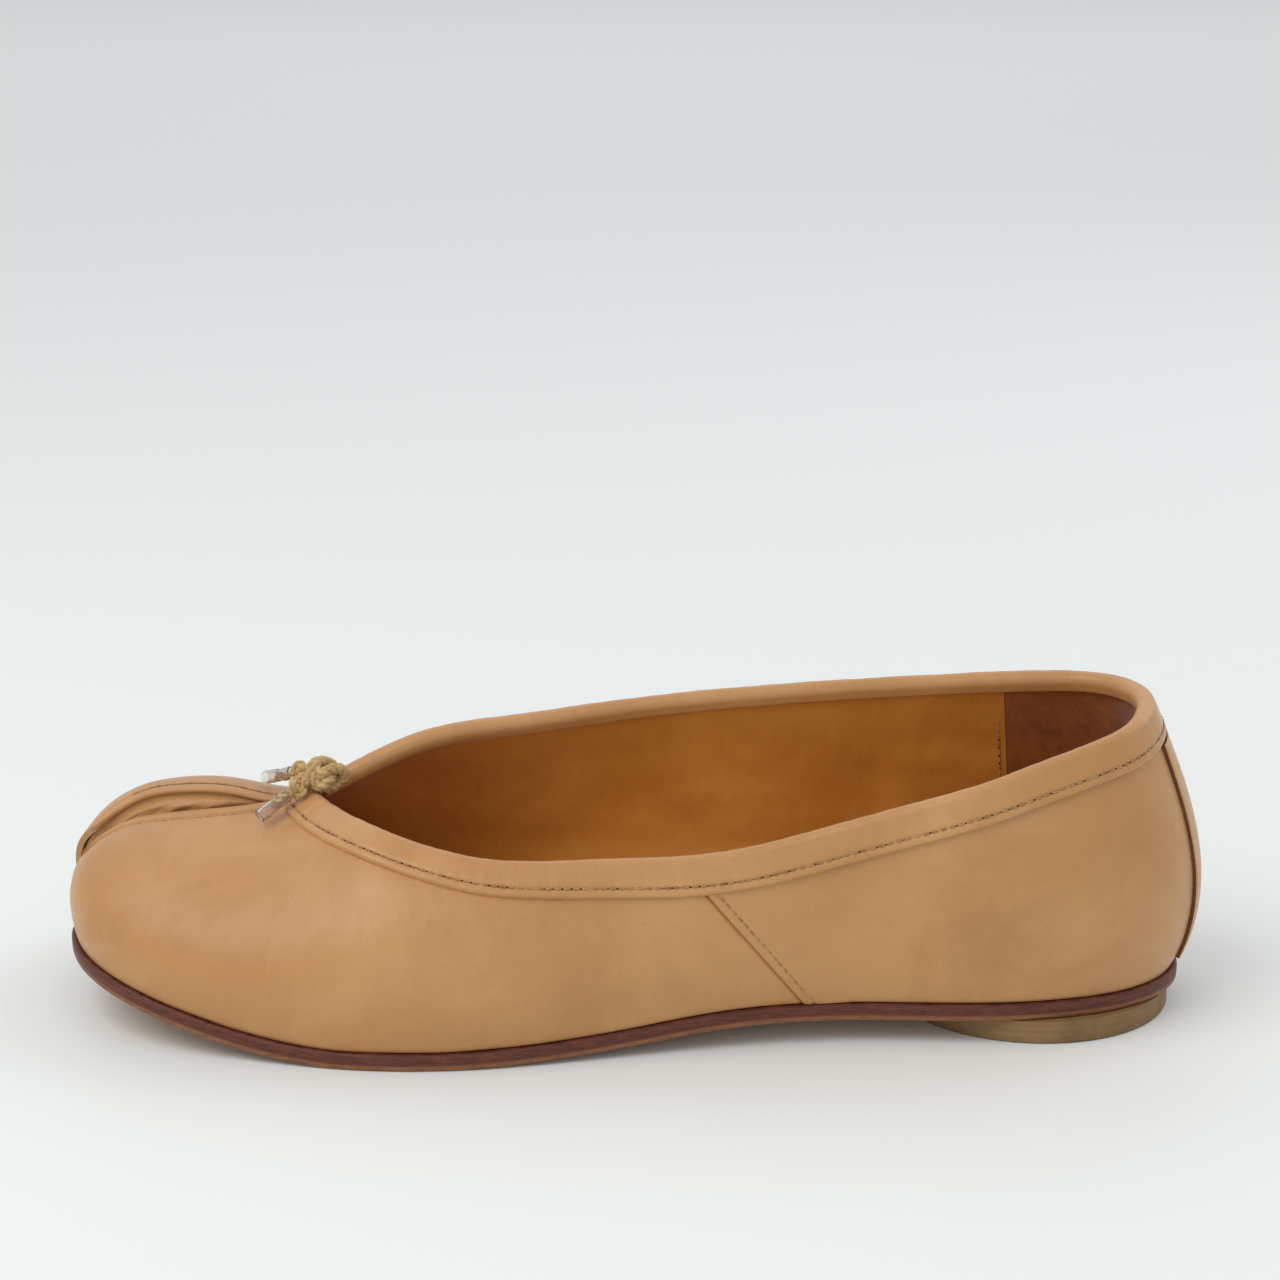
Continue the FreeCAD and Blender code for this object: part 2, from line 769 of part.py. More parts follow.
outer = [binding_line(f, GAP + BIND, ROLL_OUT, leg_at(f[0])) for f in frames]
inner = [binding_line(f, GAP, ROLL_IN, leg_at(f[0])) for f in frames]
nodes.append(node("topline_binding", solid_between(outer, inner)))


# ---------------------------------------------------------------- cords
def tube(centres, radius, ups):
    """Round cord through centres; ups holds two cross directions for each."""
    around = 10
    grid = []
    for c, (a, b) in zip(centres, ups):
        ring = []
        for k in range(around + 1):
            turn = 2 * math.pi * k / around
            ring.append(c + a * (radius * math.cos(turn)) + b * (radius * math.sin(turn)))
        grid.append(ring)
    surf = grid_surface(grid, knots_of(grid))
    ends = []
    for side in (0, 1):
        ends.append(Part.Face(Part.Wire([border(surf, side)])))
    shape = Part.makeCompound([surf.toShape()] + ends)
    shape.sewShape(1e-3)
    body = Part.makeSolid(shape.Shells[0])
    if body.Volume < 0:
        body.reverse()
    return body


CORD = size("cord_dia") / 2
nodes.append(node("draw_cord", tube([f[5] for f in frames], CORD, [(f[3], f[4]) for f in frames])))


def rod(a, b, radius):
    """Straight run of cord between two points."""
    run = doc.addObject("Part::Cylinder", "Run")
    run.Radius = radius
    run.Height = (b - a).Length
    run.Placement = FreeCAD.Placement(a, FreeCAD.Rotation(V(0, 0, 1), b - a))
    return run


def ring(centre, axis, large, small):
    turn = doc.addObject("Part::Torus", "Turn")
    turn.Radius1 = large
    turn.Radius2 = small
    turn.Placement = FreeCAD.Placement(centre, FreeCAD.Rotation(V(0, 0, 1), axis))
    return turn


def ball(centre, radius):
    core = doc.addObject("Part::Sphere", "Core")
    core.Radius = radius
    core.Placement = FreeCAD.Placement(centre, FreeCAD.Rotation(0, 0, 0))
    return core


def fused(label, pieces):
    one = doc.addObject("Part::MultiFuse", label)
    one.Label = label
    one.Shapes = pieces
    return one


end_lat = frames[0]
end_med = frames[-1]
exit_lat = end_lat[5] - end_lat[2] * 0.3
exit_med = end_med[5] + end_med[2] * 0.3
mid = (end_lat[5] + end_med[5]) * 0.5
knot_at = mid + V(2.2, -0.9, 5.6)
ball_lat = mid + V(-3.2, -5.2, 3.5)
ball_med = mid + V(-3.4, 2.6, 4.6)
tip_lat = ball_lat + V(-6.6, -4.6, -4.0)
tip_med = ball_med + V(-6.4, 4.2, -2.4)
PIVOT = 4.1


def pivot_at(middle):
    """Where a tail leaves the knot."""
    return knot_at + (middle - knot_at).normalize() * PIVOT


nodes.append(fused("throat_knot", [
    ball(knot_at, 2.2),
    ring(knot_at, V(0.2, 1, 0.3), 2.3, CORD),
    ring(knot_at + V(-0.7, 0.2, 0.2), V(1, 0.35, 0.2), 2.1, CORD),
    ring(knot_at + V(0.5, -0.3, -0.4), V(0.1, 0.4, 1), 2.2, CORD),
    rod(exit_lat, knot_at, CORD),
    rod(exit_med, knot_at, CORD),
    rod(knot_at, pivot_at(ball_lat), CORD),
    rod(knot_at, pivot_at(ball_med), CORD),
]))


def tail(label, middle, tip):
    """Short cord tail: stopper knot and the end that sits in the tip tube."""
    along = (tip - middle).normalize()
    across = along.cross(V(0, 0, 1)).normalize()
    end = middle + along * 5.2
    return fused(label, [
        ball(middle, 1.9),
        ring(middle, along, 1.5, CORD),
        ring(middle + along * 0.3, along * 0.5 + across, 1.3, CORD),
        rod(middle, end, CORD),
    ])


nodes.append(tail("tail_knot_lateral", ball_lat, tip_lat))
nodes.append(tail("tail_knot_medial", ball_med, tip_med))


# ---------------------------------------------------------------- PartDesign helpers
def new_body(label):
    body = doc.addObject("PartDesign::Body", label)
    body.Label = label
    return body


def base_plane(body, role):
    for feature in body.Origin.OriginFeatures:
        if feature.Role == role:
            return feature
    raise RuntimeError("no plane " + role)


def sketch_in(body, role):
    sk = body.newObject("Sketcher::SketchObject", "Sketch")
    sk.AttachmentSupport = [(base_plane(body, role), "")]
    sk.MapMode = "FlatFace"
    return sk


def circle(sk, x, y, radius, bound=None):
    at = sk.addGeometry(Part.Circle(V(x, y, 0), V(0, 0, 1), radius), False)
    con = sk.addConstraint(Sketcher.Constraint("Radius", at, radius))
    if bound:
        sk.setExpression("Constraints[%d]" % con, bound)
    return at


def pad(body, sk, length, bound=None):
    doc.recompute()
    feature = body.newObject("PartDesign::Pad", "Pad")
    feature.Profile = sk
    feature.Length = length
    if bound:
        feature.setExpression("Length", bound)
    doc.recompute()
    return feature


def aglet(label, middle, tip):
    """Hollow clear tube over the end of a cord tail."""
    body = new_body(label)
    sk = sketch_in(body, "XY_Plane")
    circle(sk, 0, 0, size("aglet_dia") / 2, "Sizes.aglet_dia / 2")
    circle(sk, 0, 0, CORD + 0.15, "Sizes.cord_dia / 2 + 0.15")
    pad(body, sk, size("aglet_length"), "Sizes.aglet_length")
    along = (tip - middle).normalize()
    body.Placement = FreeCAD.Placement(middle + along * 3.0, FreeCAD.Rotation(V(0, 0, 1), along))
    return body


nodes.append(aglet("aglet_lateral", ball_lat, tip_lat))
nodes.append(aglet("aglet_medial", ball_med, tip_med))

# ---------------------------------------------------------------- bottom
outline = []
for s in even(S_LAT, S_MED, 74)[:-1]:
    st = station(s)
    outline.append((st[0], st[1]))
for u in (1.0, 0.93, 0.86, 0.78, 0.70, 0.62, 0.56, 0.5, 0.44, 0.38, 0.30, 0.22, 0.14, 0.07):
    outline.append(tuple(cleft_curve(u * cleft_arc[-1])))


def shifted(points, inset):
    """Closed outline moved inward."""
    out = []
    n = len(points)
    for i in range(n):
        a = points[i - 1]
        b = points[(i + 1) % n]
        tx = b[0] - a[0]
        ty = b[1] - a[1]
        d = math.hypot(tx, ty)
        x = points[i][0] - ty / d * inset
        y = points[i][1] + tx / d * inset
        out.append(V(x, y, 0))
    return out


def smooth_closed(points):
    curve = Part.BSplineCurve()
    curve.interpolate(Points=points, PeriodicFlag=True)
    return curve


def block(sk, low, high, direction):
    solid = doc.addObject("Part::Extrusion", "Block")
    solid.Base = sk
    solid.DirMode = "Custom"
    solid.Dir = direction
    solid.LengthFwd = high
    solid.LengthRev = -low
    solid.Solid = True
    return solid


def plan_block(curves):
    sk = doc.addObject("Sketcher::SketchObject", "Plan")
    for c in curves:
        sk.addGeometry(c, False)
    return block(sk, -5.0, 60.0, V(0, 0, 1))


def side_block(z_low, z_high, x_a, x_b):
    """Band seen from the side, between two heights that follow the bottom's spring."""
    sk = doc.addObject("Sketcher::SketchObject", "Side")
    sk.Placement = FreeCAD.Placement(V(0, 0, 0), FreeCAD.Rotation(V(1, 0, 0), 90))
    xs = even(x_a, x_b, 45)
    low = Part.BSplineCurve()
    low.interpolate([V(x, z_low(x), 0) for x in xs])
    high = Part.BSplineCurve()
    high.interpolate([V(x, z_high(x), 0) for x in xs])
    sk.addGeometry(low, False)
    sk.addGeometry(high, False)
    for x in (x_a, x_b):
        sk.addGeometry(Part.LineSegment(V(x, z_low(x), 0), V(x, z_high(x), 0)), False)
    return block(sk, -75.0, 75.0, V(0, 1, 0))


def bottom_layer(label, plan, low, high, x_a=-134.0, x_b=126.0):
    """Layer of the bottom between two heights over the outsole's top face."""
    both = doc.addObject("Part::Common", label)
    both.Base = plan
    both.Tool = side_block(lambda x: sole_top(x) + low, lambda x: sole_top(x) + high, x_a, x_b)
    return both


NAILS = [(22 * math.cos(math.radians(a)), 22 * math.sin(math.radians(a))) for a in (0, 72, 144, 216, 288)]
lift_x = 86.3 * KX
nail_r = size("nail_dia") / 2

lift = new_body("heel_lift")
sk = sketch_in(lift, "XY_Plane")
circle(sk, 0, 0, size("lift_radius"), "Sizes.lift_radius")
disc = pad(lift, sk, LIFT - GAP, "Sizes.lift_thick - Sizes.glue_gap")
round_edge = lift.newObject("PartDesign::Fillet", "Fillet")
low_edge = min(range(len(disc.Shape.Edges)), key=lambda i: disc.Shape.Edges[i].CenterOfMass.z)
round_edge.Base = (disc, ["Edge%d" % (low_edge + 1)])
round_edge.Radius = 0.5
doc.recompute()


def pocket(body, points, radius, length, bound=None):
    sk = sketch_in(body, "XY_Plane")
    for x, y in points:
        circle(sk, x, y, radius, bound)
    doc.recompute()
    cut = body.newObject("PartDesign::Pocket", "Pocket")
    cut.Profile = sk
    cut.Length = length
    cut.Reversed = True
    doc.recompute()
    return cut


full = lift.Shape.Volume
pocket(lift, NAILS, nail_r + 0.15, 40.0, "Sizes.nail_dia / 2 + 0.15")
pocket(lift, NAILS, nail_r * 2 + 0.15, 1.1, "Sizes.nail_dia + 0.15")
if lift.Shape.Volume > full - 20:
    raise RuntimeError("nail holes did not cut the lift")
lift.Placement = FreeCAD.Placement(V(lift_x, 0, 0), FreeCAD.Rotation(0, 0, 0))
nodes.append(lift)


def cylinder(label, x, y, low, high, radius):
    c = doc.addObject("Part::Cylinder", label)
    c.Radius = radius
    c.Height = high - low
    c.Placement = FreeCAD.Placement(V(x, y, low), FreeCAD.Rotation(0, 0, 0))
    return c


nail_top = LIFT + 2.4
pins = []
holes = []
for x, y in NAILS:
    shaft = cylinder("Shaft", lift_x + x, y, 0.9, nail_top, nail_r)
    head = cylinder("Head", lift_x + x, y, 0.35, 0.95, nail_r * 2)
    pins.append(fused("Nail", [shaft, head]))
    holes.append(cylinder("Hole", lift_x + x, y, 0.0, nail_top + 0.2, nail_r + 0.15))
nails = doc.addObject("Part::Compound", "heel_nails")
nails.Links = pins
nodes.append(nails)

sole_plan = plan_block([smooth_closed(shifted(outline, -1.2))])
board_plan = plan_block([smooth_closed(shifted(outline, 2.4))])
sole_body = bottom_layer("SoleBody", sole_plan, -SOLE, 0.0)
drilled = doc.addObject("Part::MultiFuse", "Holes")
drilled.Shapes = holes
outsole = doc.addObject("Part::Cut", "outsole")
outsole.Base = sole_body
outsole.Tool = drilled
nodes.append(outsole)

BOARD_LOW = LEATHER + 2 * GAP
BOARD_HIGH = BOARD_LOW + size("insole_thick")
nodes.append(bottom_layer("insole_board", board_plan, BOARD_LOW, BOARD_HIGH))
SOCK_LOW = BOARD_HIGH + GAP
nodes.append(bottom_layer("sock_lining", board_plan, SOCK_LOW, SOCK_LOW + size("sock_thick")))

inner_line = []
for s in even(s_at_x(-96 * KX, -1), s_at_x(-96 * KX, 1), 60):
    p = foot(s, MARGIN + 0.5, 0)
    inner_line.append(V(p.x, p.y, 0))
side_curve = Part.BSplineCurve()
side_curve.interpolate(inner_line)
front_line = Part.LineSegment(inner_line[-1], inner_line[0])
filler_body = bottom_layer("FillerBody", plan_block([side_curve, front_line]), GAP, GAP + LEATHER - 0.05)


def slot(x_a, y_a, x_b, y_b, half):
    """Strip with round ends, seen from above."""
    a = V(x_a, y_a, 0)
    b = V(x_b, y_b, 0)
    t = (b - a).normalize()
    n = V(-t.y, t.x, 0)
    return [
        Part.LineSegment(a + n * half, b + n * half),
        Part.Arc(b + n * half, b + t * half, b - n * half),
        Part.LineSegment(b - n * half, a - n * half),
        Part.Arc(a - n * half, a - t * half, a + n * half),
    ]


SHANK = (-14 * KX, -5.6 * KY, 90 * KX, -1.2 * KY)
nodes.append(bottom_layer("shank", plan_block(slot(*SHANK, 6.0)), GAP, GAP + 1.0))
filler = doc.addObject("Part::Cut", "bottom_filler")
filler.Base = filler_body
filler.Tool = plan_block(slot(*SHANK, 6.2))
nodes.append(filler)

# ---------------------------------------------------------------- stitches
THREAD = 0.2
OVER = 0.24


def stitch_row(label, spots):
    """Row of short thread pieces just over the leather; spots are (point, along, outward)."""
    threads = []
    length = size("stitch_pitch") * 0.62
    for p, t, n in spots:
        start = p + n * (THREAD + OVER) - t * (length / 2)
        threads.append(Part.makeCylinder(THREAD, length, start, t))
    return node(label, Part.makeCompound(threads))


def walk(path, step):
    """Spots at even distances along a sampled path of (point, outward)."""
    spots = []
    want = step * 0.5
    gone = 0.0
    for (p, n), (q, m) in zip(path, path[1:]):
        run = (q - p).Length
        while want <= gone + run:
            f = (want - gone) / run
            t = (q - p).normalize()
            spots.append((lerp(p, q, f), t, lerp(n, m, f).normalize()))
            want += step
        gone += run
    return spots


PITCH = size("stitch_pitch")
path = []
for f in frames:
    s, p, t, n, up, centre = f
    a, v = nearest(p - up * (leg_at(s) - 2.0), s, v_top(s))
    m = wall_normal(a, v)
    path.append((wall(a, v) + m * (GAP + BIND), m))
nodes.append(stitch_row("stitch_topline", walk(path, PITCH)))


def seam_path(seam, side):
    path = []
    for w in even(0.03, 1.0, 30):
        s = seam_s(seam, w) - 2.4 * side
        foot_v = v_at_height(s, sole_top(station(s)[0]) + 1.9)
        v = mix(foot_v, v_top(s) - (LEG + 0.8) / wall_speed(s, v_top(s)), w)
        n = wall_normal(s, v)
        path.append((wall(s, v) + n * 0.3, n))
    return path


nodes.append(stitch_row("stitch_side_lateral", walk(seam_path(seam_lat, -1), PITCH)))
nodes.append(stitch_row("stitch_side_medial", walk(seam_path(seam_med, 1), PITCH)))


def edge_path(s_a, s_b, inset):
    path = []
    for s in even(s_a, s_b, 40):
        v = 1.0 - inset / wall_speed(s, 1.0)
        path.append((wall(s, v), wall_normal(s, v)))
    return path


nodes.append(stitch_row("stitch_toe_lateral", walk(edge_path(S_LAT + 1, S_THROAT_LAT - 9, 1.8), PITCH)))
nodes.append(stitch_row("stitch_toe_medial", walk(edge_path(S_THROAT_MED + 9, S_MED - 1, 2.2), PITCH)))


def grip_path(s, side):
    path = []
    at = s - 1.6 * side * -1
    for w in even(0.08, 0.84, 30):
        foot_v = v_at_height(at, sole_top(station(at)[0]) + LINING_FOOT)
        v = mix(foot_v, v_top(at), w)
        n = wall_normal(at, v) * -1
        path.append((skin(at, v, lining_depth(at, w) + LINING), n))
    return path


threads = walk(grip_path(grip_lat, -1), PITCH) + walk(grip_path(grip_med, 1), PITCH)
nodes.append(stitch_row("stitch_grip", threads))

# ---------------------------------------------------------------- write
doc.recompute()
for feature in doc.Objects:
    if "Invalid" in feature.State or "Error" in feature.State:
        raise RuntimeError("not built: " + feature.Label)
for feature in nodes:
    if feature.Shape.isNull() or not feature.Shape.isValid() or feature.Shape.Volume <= 0:
        raise RuntimeError("bad shape: " + feature.Label)

# the origin stands on the floor under the middle of the shoe
low = V(1e9, 1e9, 0)
high = V(-1e9, -1e9, 0)
for feature in nodes:
    for p in feature.Shape.tessellate(0.05)[0]:
        low = V(min(low.x, p.x), min(low.y, p.y), 0)
        high = V(max(high.x, p.x), max(high.y, p.y), 0)
centre = (low + high) * 0.5
for feature in nodes:
    place = feature.Placement
    feature.Placement = FreeCAD.Placement(place.Base - centre, place.Rotation)
print("origin moved by", -centre.x, -centre.y)
print("tail pivots", pivot_at(ball_lat) - centre, pivot_at(ball_med) - centre)
print("tail ends", tip_lat - centre, tip_med - centre)

os.makedirs("parts", exist_ok=True)
for feature in nodes:
    feature.Shape.exportStep("parts/%s.step" % feature.Label)
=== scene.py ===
import math

import bpy
import numpy as np
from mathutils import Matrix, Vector, geometry


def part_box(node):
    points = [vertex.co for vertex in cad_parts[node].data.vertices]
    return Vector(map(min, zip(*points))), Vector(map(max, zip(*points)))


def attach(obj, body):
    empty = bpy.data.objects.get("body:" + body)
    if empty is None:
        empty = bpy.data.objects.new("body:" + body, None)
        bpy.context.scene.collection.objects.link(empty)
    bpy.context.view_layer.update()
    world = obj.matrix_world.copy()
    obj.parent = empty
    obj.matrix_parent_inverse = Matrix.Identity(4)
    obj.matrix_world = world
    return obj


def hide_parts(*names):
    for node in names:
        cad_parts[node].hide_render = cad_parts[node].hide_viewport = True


# Left split-toe ballet slipper. Shapes are worked out in millimetres in the shoe's own frame
# (toe to -X, outer side to -Y, floor at z = 0) and turned to metres when a mesh is made.

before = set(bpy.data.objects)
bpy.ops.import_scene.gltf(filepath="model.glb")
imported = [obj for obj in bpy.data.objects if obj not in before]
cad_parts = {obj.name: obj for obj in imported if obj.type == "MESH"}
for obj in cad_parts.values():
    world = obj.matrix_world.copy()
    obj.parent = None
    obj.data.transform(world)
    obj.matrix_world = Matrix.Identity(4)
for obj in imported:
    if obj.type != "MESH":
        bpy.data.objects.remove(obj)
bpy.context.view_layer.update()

# ---------------------------------------------------------------- sizes, millimetres
SOLE = 3.6
LIFT = 5.2
LEATHER = 1.3
LINING = 0.8
STIFF = 1.0
BOARD = 1.6
SOCK = 0.8
BIND = 0.9
LEG = 5.4
INNER_LEG = 0.6
ROLL_RISE = 1.2
GAP = 0.15
PITCH = 1.9
LIFT_X = 86.3

lift_low, lift_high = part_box("heel_lift")
MIDDLE = np.array([(lift_low.x + lift_high.x) * 500 - LIFT_X, (lift_low.y + lift_high.y) * 500, 0.0])


def stacked(*parts):
    return np.stack(parts, axis=-1)


def metres(points):
    return (np.asarray(points, float) + MIDDLE) / 1000.0


def unit(a):
    return a / np.maximum(np.linalg.norm(a, axis=-1, keepdims=True), 1e-12)


def smooth(a, b, t):
    u = np.clip((np.asarray(t, float) - a) / (b - a), 0.0, 1.0)
    return u * u * (3 - 2 * u)


def mix(a, b, t):
    return a + (b - a) * t


def spline(ts, rows):
    """Natural cubic spline through rows of values, read at an array of places."""
    ts = np.asarray(ts, float)
    rows = np.asarray(rows, float)
    n = len(ts)
    h = np.diff(ts)
    a = np.eye(n)
    rhs = np.zeros_like(rows)
    for i in range(1, n - 1):
        a[i, i - 1 : i + 2] = h[i - 1], 2 * (h[i - 1] + h[i]), h[i]
        rhs[i] = 6 * ((rows[i + 1] - rows[i]) / h[i] - (rows[i] - rows[i - 1]) / h[i - 1])
    bend = np.linalg.solve(a, rhs.reshape(n, -1)).reshape(rows.shape)

    def at(t):
        t = np.asarray(t, float)
        i = np.clip(np.searchsorted(ts, t) - 1, 0, n - 2)
        extra = (1,) * (rows.ndim - 1)
        step = h[i].reshape(t.shape + extra)
        p = ((ts[i + 1] - t) / h[i]).reshape(t.shape + extra)
        q = ((t - ts[i]) / h[i]).reshape(t.shape + extra)
        wave = ((p**3 - p) * bend[i] + (q**3 - q) * bend[i + 1]) * step**2 / 6
        return p * rows[i] + q * rows[i + 1] + wave

    return at


def distances(points, axis=0):
    """Running length along one axis of an array of points."""
    run = np.linalg.norm(np.diff(points, axis=axis), axis=-1)
    start = np.zeros_like(np.take(run, [0], axis=axis))
    return np.concatenate([start, np.cumsum(run, axis=axis)], axis=axis)


def noise(points, grain, seed=0.0):
    """Smooth noise from 0 to 1 with bumps about one grain wide."""
    p = np.asarray(points, float) / grain + seed
    low = np.floor(p)
    f = p - low
    f = f * f * (3 - 2 * f)
    total = 0.0
    for dx in (0, 1):
        for dy in (0, 1):
            for dz in (0, 1):
                corner = low + np.array([dx, dy, dz])
                h = np.sin(corner @ np.array([127.1, 311.7, 74.7])) * 43758.5453
                h = h - np.floor(h)
                wx = f[..., 0] if dx else 1 - f[..., 0]
                wy = f[..., 1] if dy else 1 - f[..., 1]
                wz = f[..., 2] if dz else 1 - f[..., 2]
                total = total + h * wx * wy * wz
    return total


def line_noise(run, grain, seed):
    """Noise about zero along a running length."""
    return noise(stacked(run, 0 * run, 0 * run), grain, seed) - 0.5


# ---------------------------------------------------------------- the last's surface
SPRING = [(-130, 15.0), (-116, 11.0), (-100, 6.8), (-82, 2.4), (-62, 0.0), (-40, 0.0)]
WAIST = [(-20, 0.15), (0, 0.48), (20, 0.885), (40, 1.0), (57, 1.0), (80, 1.0), (124, 1.0)]
rise = SPRING + [(x, share * LIFT) for x, share in WAIST]
under = spline([x for x, z in rise], [[z] for x, z in rise])


def sole_low(x):
    return np.maximum(0.0, under(np.clip(x, -130, 124))[..., 0])


def sole_top(x):
    return sole_low(x) + SOLE


# foot point (x, y), guide point (x, y, z), handle share and lean at the foot,
# handle share and slope at the top, topline height
HEEL = (117.6, 0, 103, 0, 86, 0.36, 62, 0.35, 72, 66.0)
LATERAL = [
    (-122.5, -3.5, -120.5, 1.3, 33, 0.50, 72, 0.40, 50, 46),
    (-121.0, -12, -113, 1.7, 37.6, 0.60, 73, 0.50, 18, 47),
    (-115.3, -22.3, -103, 1.3, 40.2, 0.60, 75, 0.54, 8, 47.5),
    (-103, -32, -91, 1.2, 41.4, 0.60, 76, 0.54, 9, 46.6),
    (-83, -38.8, -76, 1.5, 43.8, 0.58, 77, 0.52, 15, 44.8),
    (-58, -43.8, -57, -5, 51.5, 0.55, 77, 0.50, 20, 43.8),
    (-34, -43.6, -34, -9.5, 56.5, 0.50, 77, 0.46, 36, 39.4),
    (-8, -38.2, -8, -14, 62.5, 0.45, 77, 0.40, 54, 38.7),
    (20, -32, 20, -17, 68.5, 0.42, 77, 0.36, 66, 39.9),
    (46, -29, 46, -19, 74, 0.42, 76, 0.35, 72, 46.1),
    (72, -29.5, 70, -19, 79, 0.40, 74, 0.35, 74, 53.0),
    (94, -26.2, 87, -16, 83, 0.38, 70, 0.35, 74, 59.2),
    (110.5, -16.5, 98.5, -12, 85, 0.36, 64, 0.35, 74, 63.2),
]
MEDIAL = [
    (110.5, 16.5, 98.5, 12, 85, 0.36, 64, 0.35, 74, 65.9),
    (94, 26, 87, 16, 83.5, 0.38, 68, 0.35, 76, 65.0),
    (72, 27.5, 70, 19, 81, 0.40, 68, 0.35, 78, 63.5),
    (47, 23, 47, 20, 77, 0.42, 62, 0.35, 78, 62.1),
    (22, 20.5, 21, 20, 73, 0.42, 56, 0.36, 76, 60.2),
    (-3, 22.5, -5, 18, 69, 0.42, 56, 0.38, 66, 57.8),
    (-27, 30, -30, 13.5, 63.5, 0.45, 64, 0.42, 48, 55.4),
    (-50, 38.5, -53, 8, 56, 0.50, 71, 0.48, 26, 52.0),
    (-72, 42.4, -74, 3.2, 44.6, 0.56, 74, 0.52, 2, 44.9),
    (-93, 41, -88, 4.6, 44.8, 0.60, 74, 0.57, -14, 49),
    (-110.5, 35, -101, 5.8, 45.0, 0.60, 73, 0.57, -11, 49),
    (-121, 25, -112, 7.6, 41.6, 0.60, 72, 0.52, 0, 48),
    (-124.8, 15, -120.6, 8.4, 35.2, 0.50, 71, 0.40, 34, 46),
]
stations = np.array(LATERAL + [HEEL] + MEDIAL, float)
arc = distances(stations[:, :2])
arc = arc - arc[len(LATERAL)]
S_LAT = arc[0]
S_MED = arc[-1]
station = spline(arc, stations)


def clamp_s(s):
    return np.clip(s, S_LAT, S_MED)


def foot_normal(s):
    t = station(clamp_s(s + 0.5))[..., :2] - station(clamp_s(s - 0.5))[..., :2]
    t = unit(t)
    return stacked(t[..., 1], -t[..., 0])


def wall(s, v):
    """Outer face of the upper; s along the feather line, v up the wall."""
    s, v = np.broadcast_arrays(np.asarray(s, float), np.asarray(v, float))
    fx, fy, rx, ry, rz, k0, b0, k1, b1, top = np.moveaxis(station(s), -1, 0)
    out = foot_normal(s)
    z0 = sole_top(fx)
    height = rz - z0
    wide = np.hypot(rx - fx, ry - fy)
    lean = np.radians(b0)
    slope = np.radians(b1)
    back = stacked(fx - rx, fy - ry) / wide[..., None]
    e = unit(mix(out, back, smooth(0.0, 25.0, wide)[..., None]))
    h0 = k0 * height
    h1 = k1 * (wide * np.cos(slope) + height * np.sin(slope))
    p0 = stacked(fx, fy, z0)
    p3 = stacked(rx, ry, rz)
    a = h0 * np.cos(lean)
    b = h1 * np.cos(slope)
    p1 = p0 + stacked(a * out[..., 0], a * out[..., 1], h0 * np.sin(lean))
    p2 = p3 + stacked(b * e[..., 0], b * e[..., 1], -h1 * np.sin(slope))
    v = v[..., None]
    return p0 * (1 - v) ** 3 + p1 * 3 * v * (1 - v) ** 2 + p2 * 3 * v * v * (1 - v) + p3 * v**3


def wall_normal(s, v):
    along = wall(clamp_s(s + 0.4), v) - wall(clamp_s(s - 0.4), v)
    up = wall(s, np.minimum(1.0, v + 0.01)) - wall(s, np.maximum(0.0, v - 0.01))
    return unit(np.cross(along, up))


def v_at_height(s, z):
    """Share of the wall at a height over the floor, for arrays of the same length."""
    tries = np.linspace(0, 1, 121)
    over = wall(s[:, None], tries[None, :])[..., 2] > z[:, None]
    first = over.argmax(axis=1)
    high = tries[first]
    low = tries[np.maximum(first - 1, 0)]
    for _ in range(20):
        m = (low + high) / 2
        up = wall(s, m)[..., 2] > z
        high = np.where(up, m, high)
        low = np.where(up, low, m)
    return np.where(over.any(axis=1), high, 1.0)


def v_over_sole(s, lift):
    return v_at_height(s, sole_top(station(s)[:, 0]) + lift)


def throat(inside, beyond):
    """Station where the topline meets the split."""
    for _ in range(40):
        m = (inside + beyond) / 2
        st = station(m)
        if st[9] < st[4]:
            inside = m
        else:
            beyond = m
    return inside


S_THROAT_LAT = throat(arc[6], arc[3])
S_THROAT_MED = throat(arc[len(LATERAL) + 7], arc[len(LATERAL) + 10])
s_all = np.unique(np.concatenate([np.linspace(S_LAT, S_MED, 1500), [S_THROAT_LAT, S_THROAT_MED]]))
st_all = station(s_all)
top_all = np.where(st_all[:, 9] >= st_all[:, 4], 1.0, v_at_height(s_all, st_all[:, 9]))


def v_top(s):
    return np.interp(s, s_all, top_all)


def s_at_x(x, side):
    """Station on one side whose foot point is at x."""
    lo = 0.0
    hi = S_LAT if side < 0 else S_MED
    for _ in range(40):
        m = (lo + hi) / 2
        if station(m)[0] > x:
            lo = m
        else:
            hi = m
    return (lo + hi) / 2


def skin(s, v, depth):
    return wall(s, v) - wall_normal(s, v) * np.asarray(depth, float)[..., None]


def nearest(point, s, v):
    """Surface addresses nearest an array of points."""
    for _ in range(7):
        p = wall(s, v)
        ds = (wall(clamp_s(s + 0.3), v) - wall(clamp_s(s - 0.3), v)) / 0.6
        reach = np.minimum(1.0, v + 0.01) - v + 0.01
        dv = (wall(s, np.minimum(1.0, v + 0.01)) - wall(s, v - 0.01)) / reach[..., None]
        gap = point - p
        a = (ds * ds).sum(-1)
        b = (ds * dv).sum(-1)
        c = (dv * dv).sum(-1)
        e = (gap * ds).sum(-1)
        f = (gap * dv).sum(-1)
        det = a * c - b * b
        s = clamp_s(s + (e * c - f * b) / det)
        v = np.clip(v + (a * f - b * e) / det, 0.02, 1.0)
    return s, v


def wall_speed(s, v):
    """Length of wall for a unit of v, measured just below v."""
    return np.linalg.norm(wall(s, v) - wall(s, v - 0.02), axis=-1) / 0.02


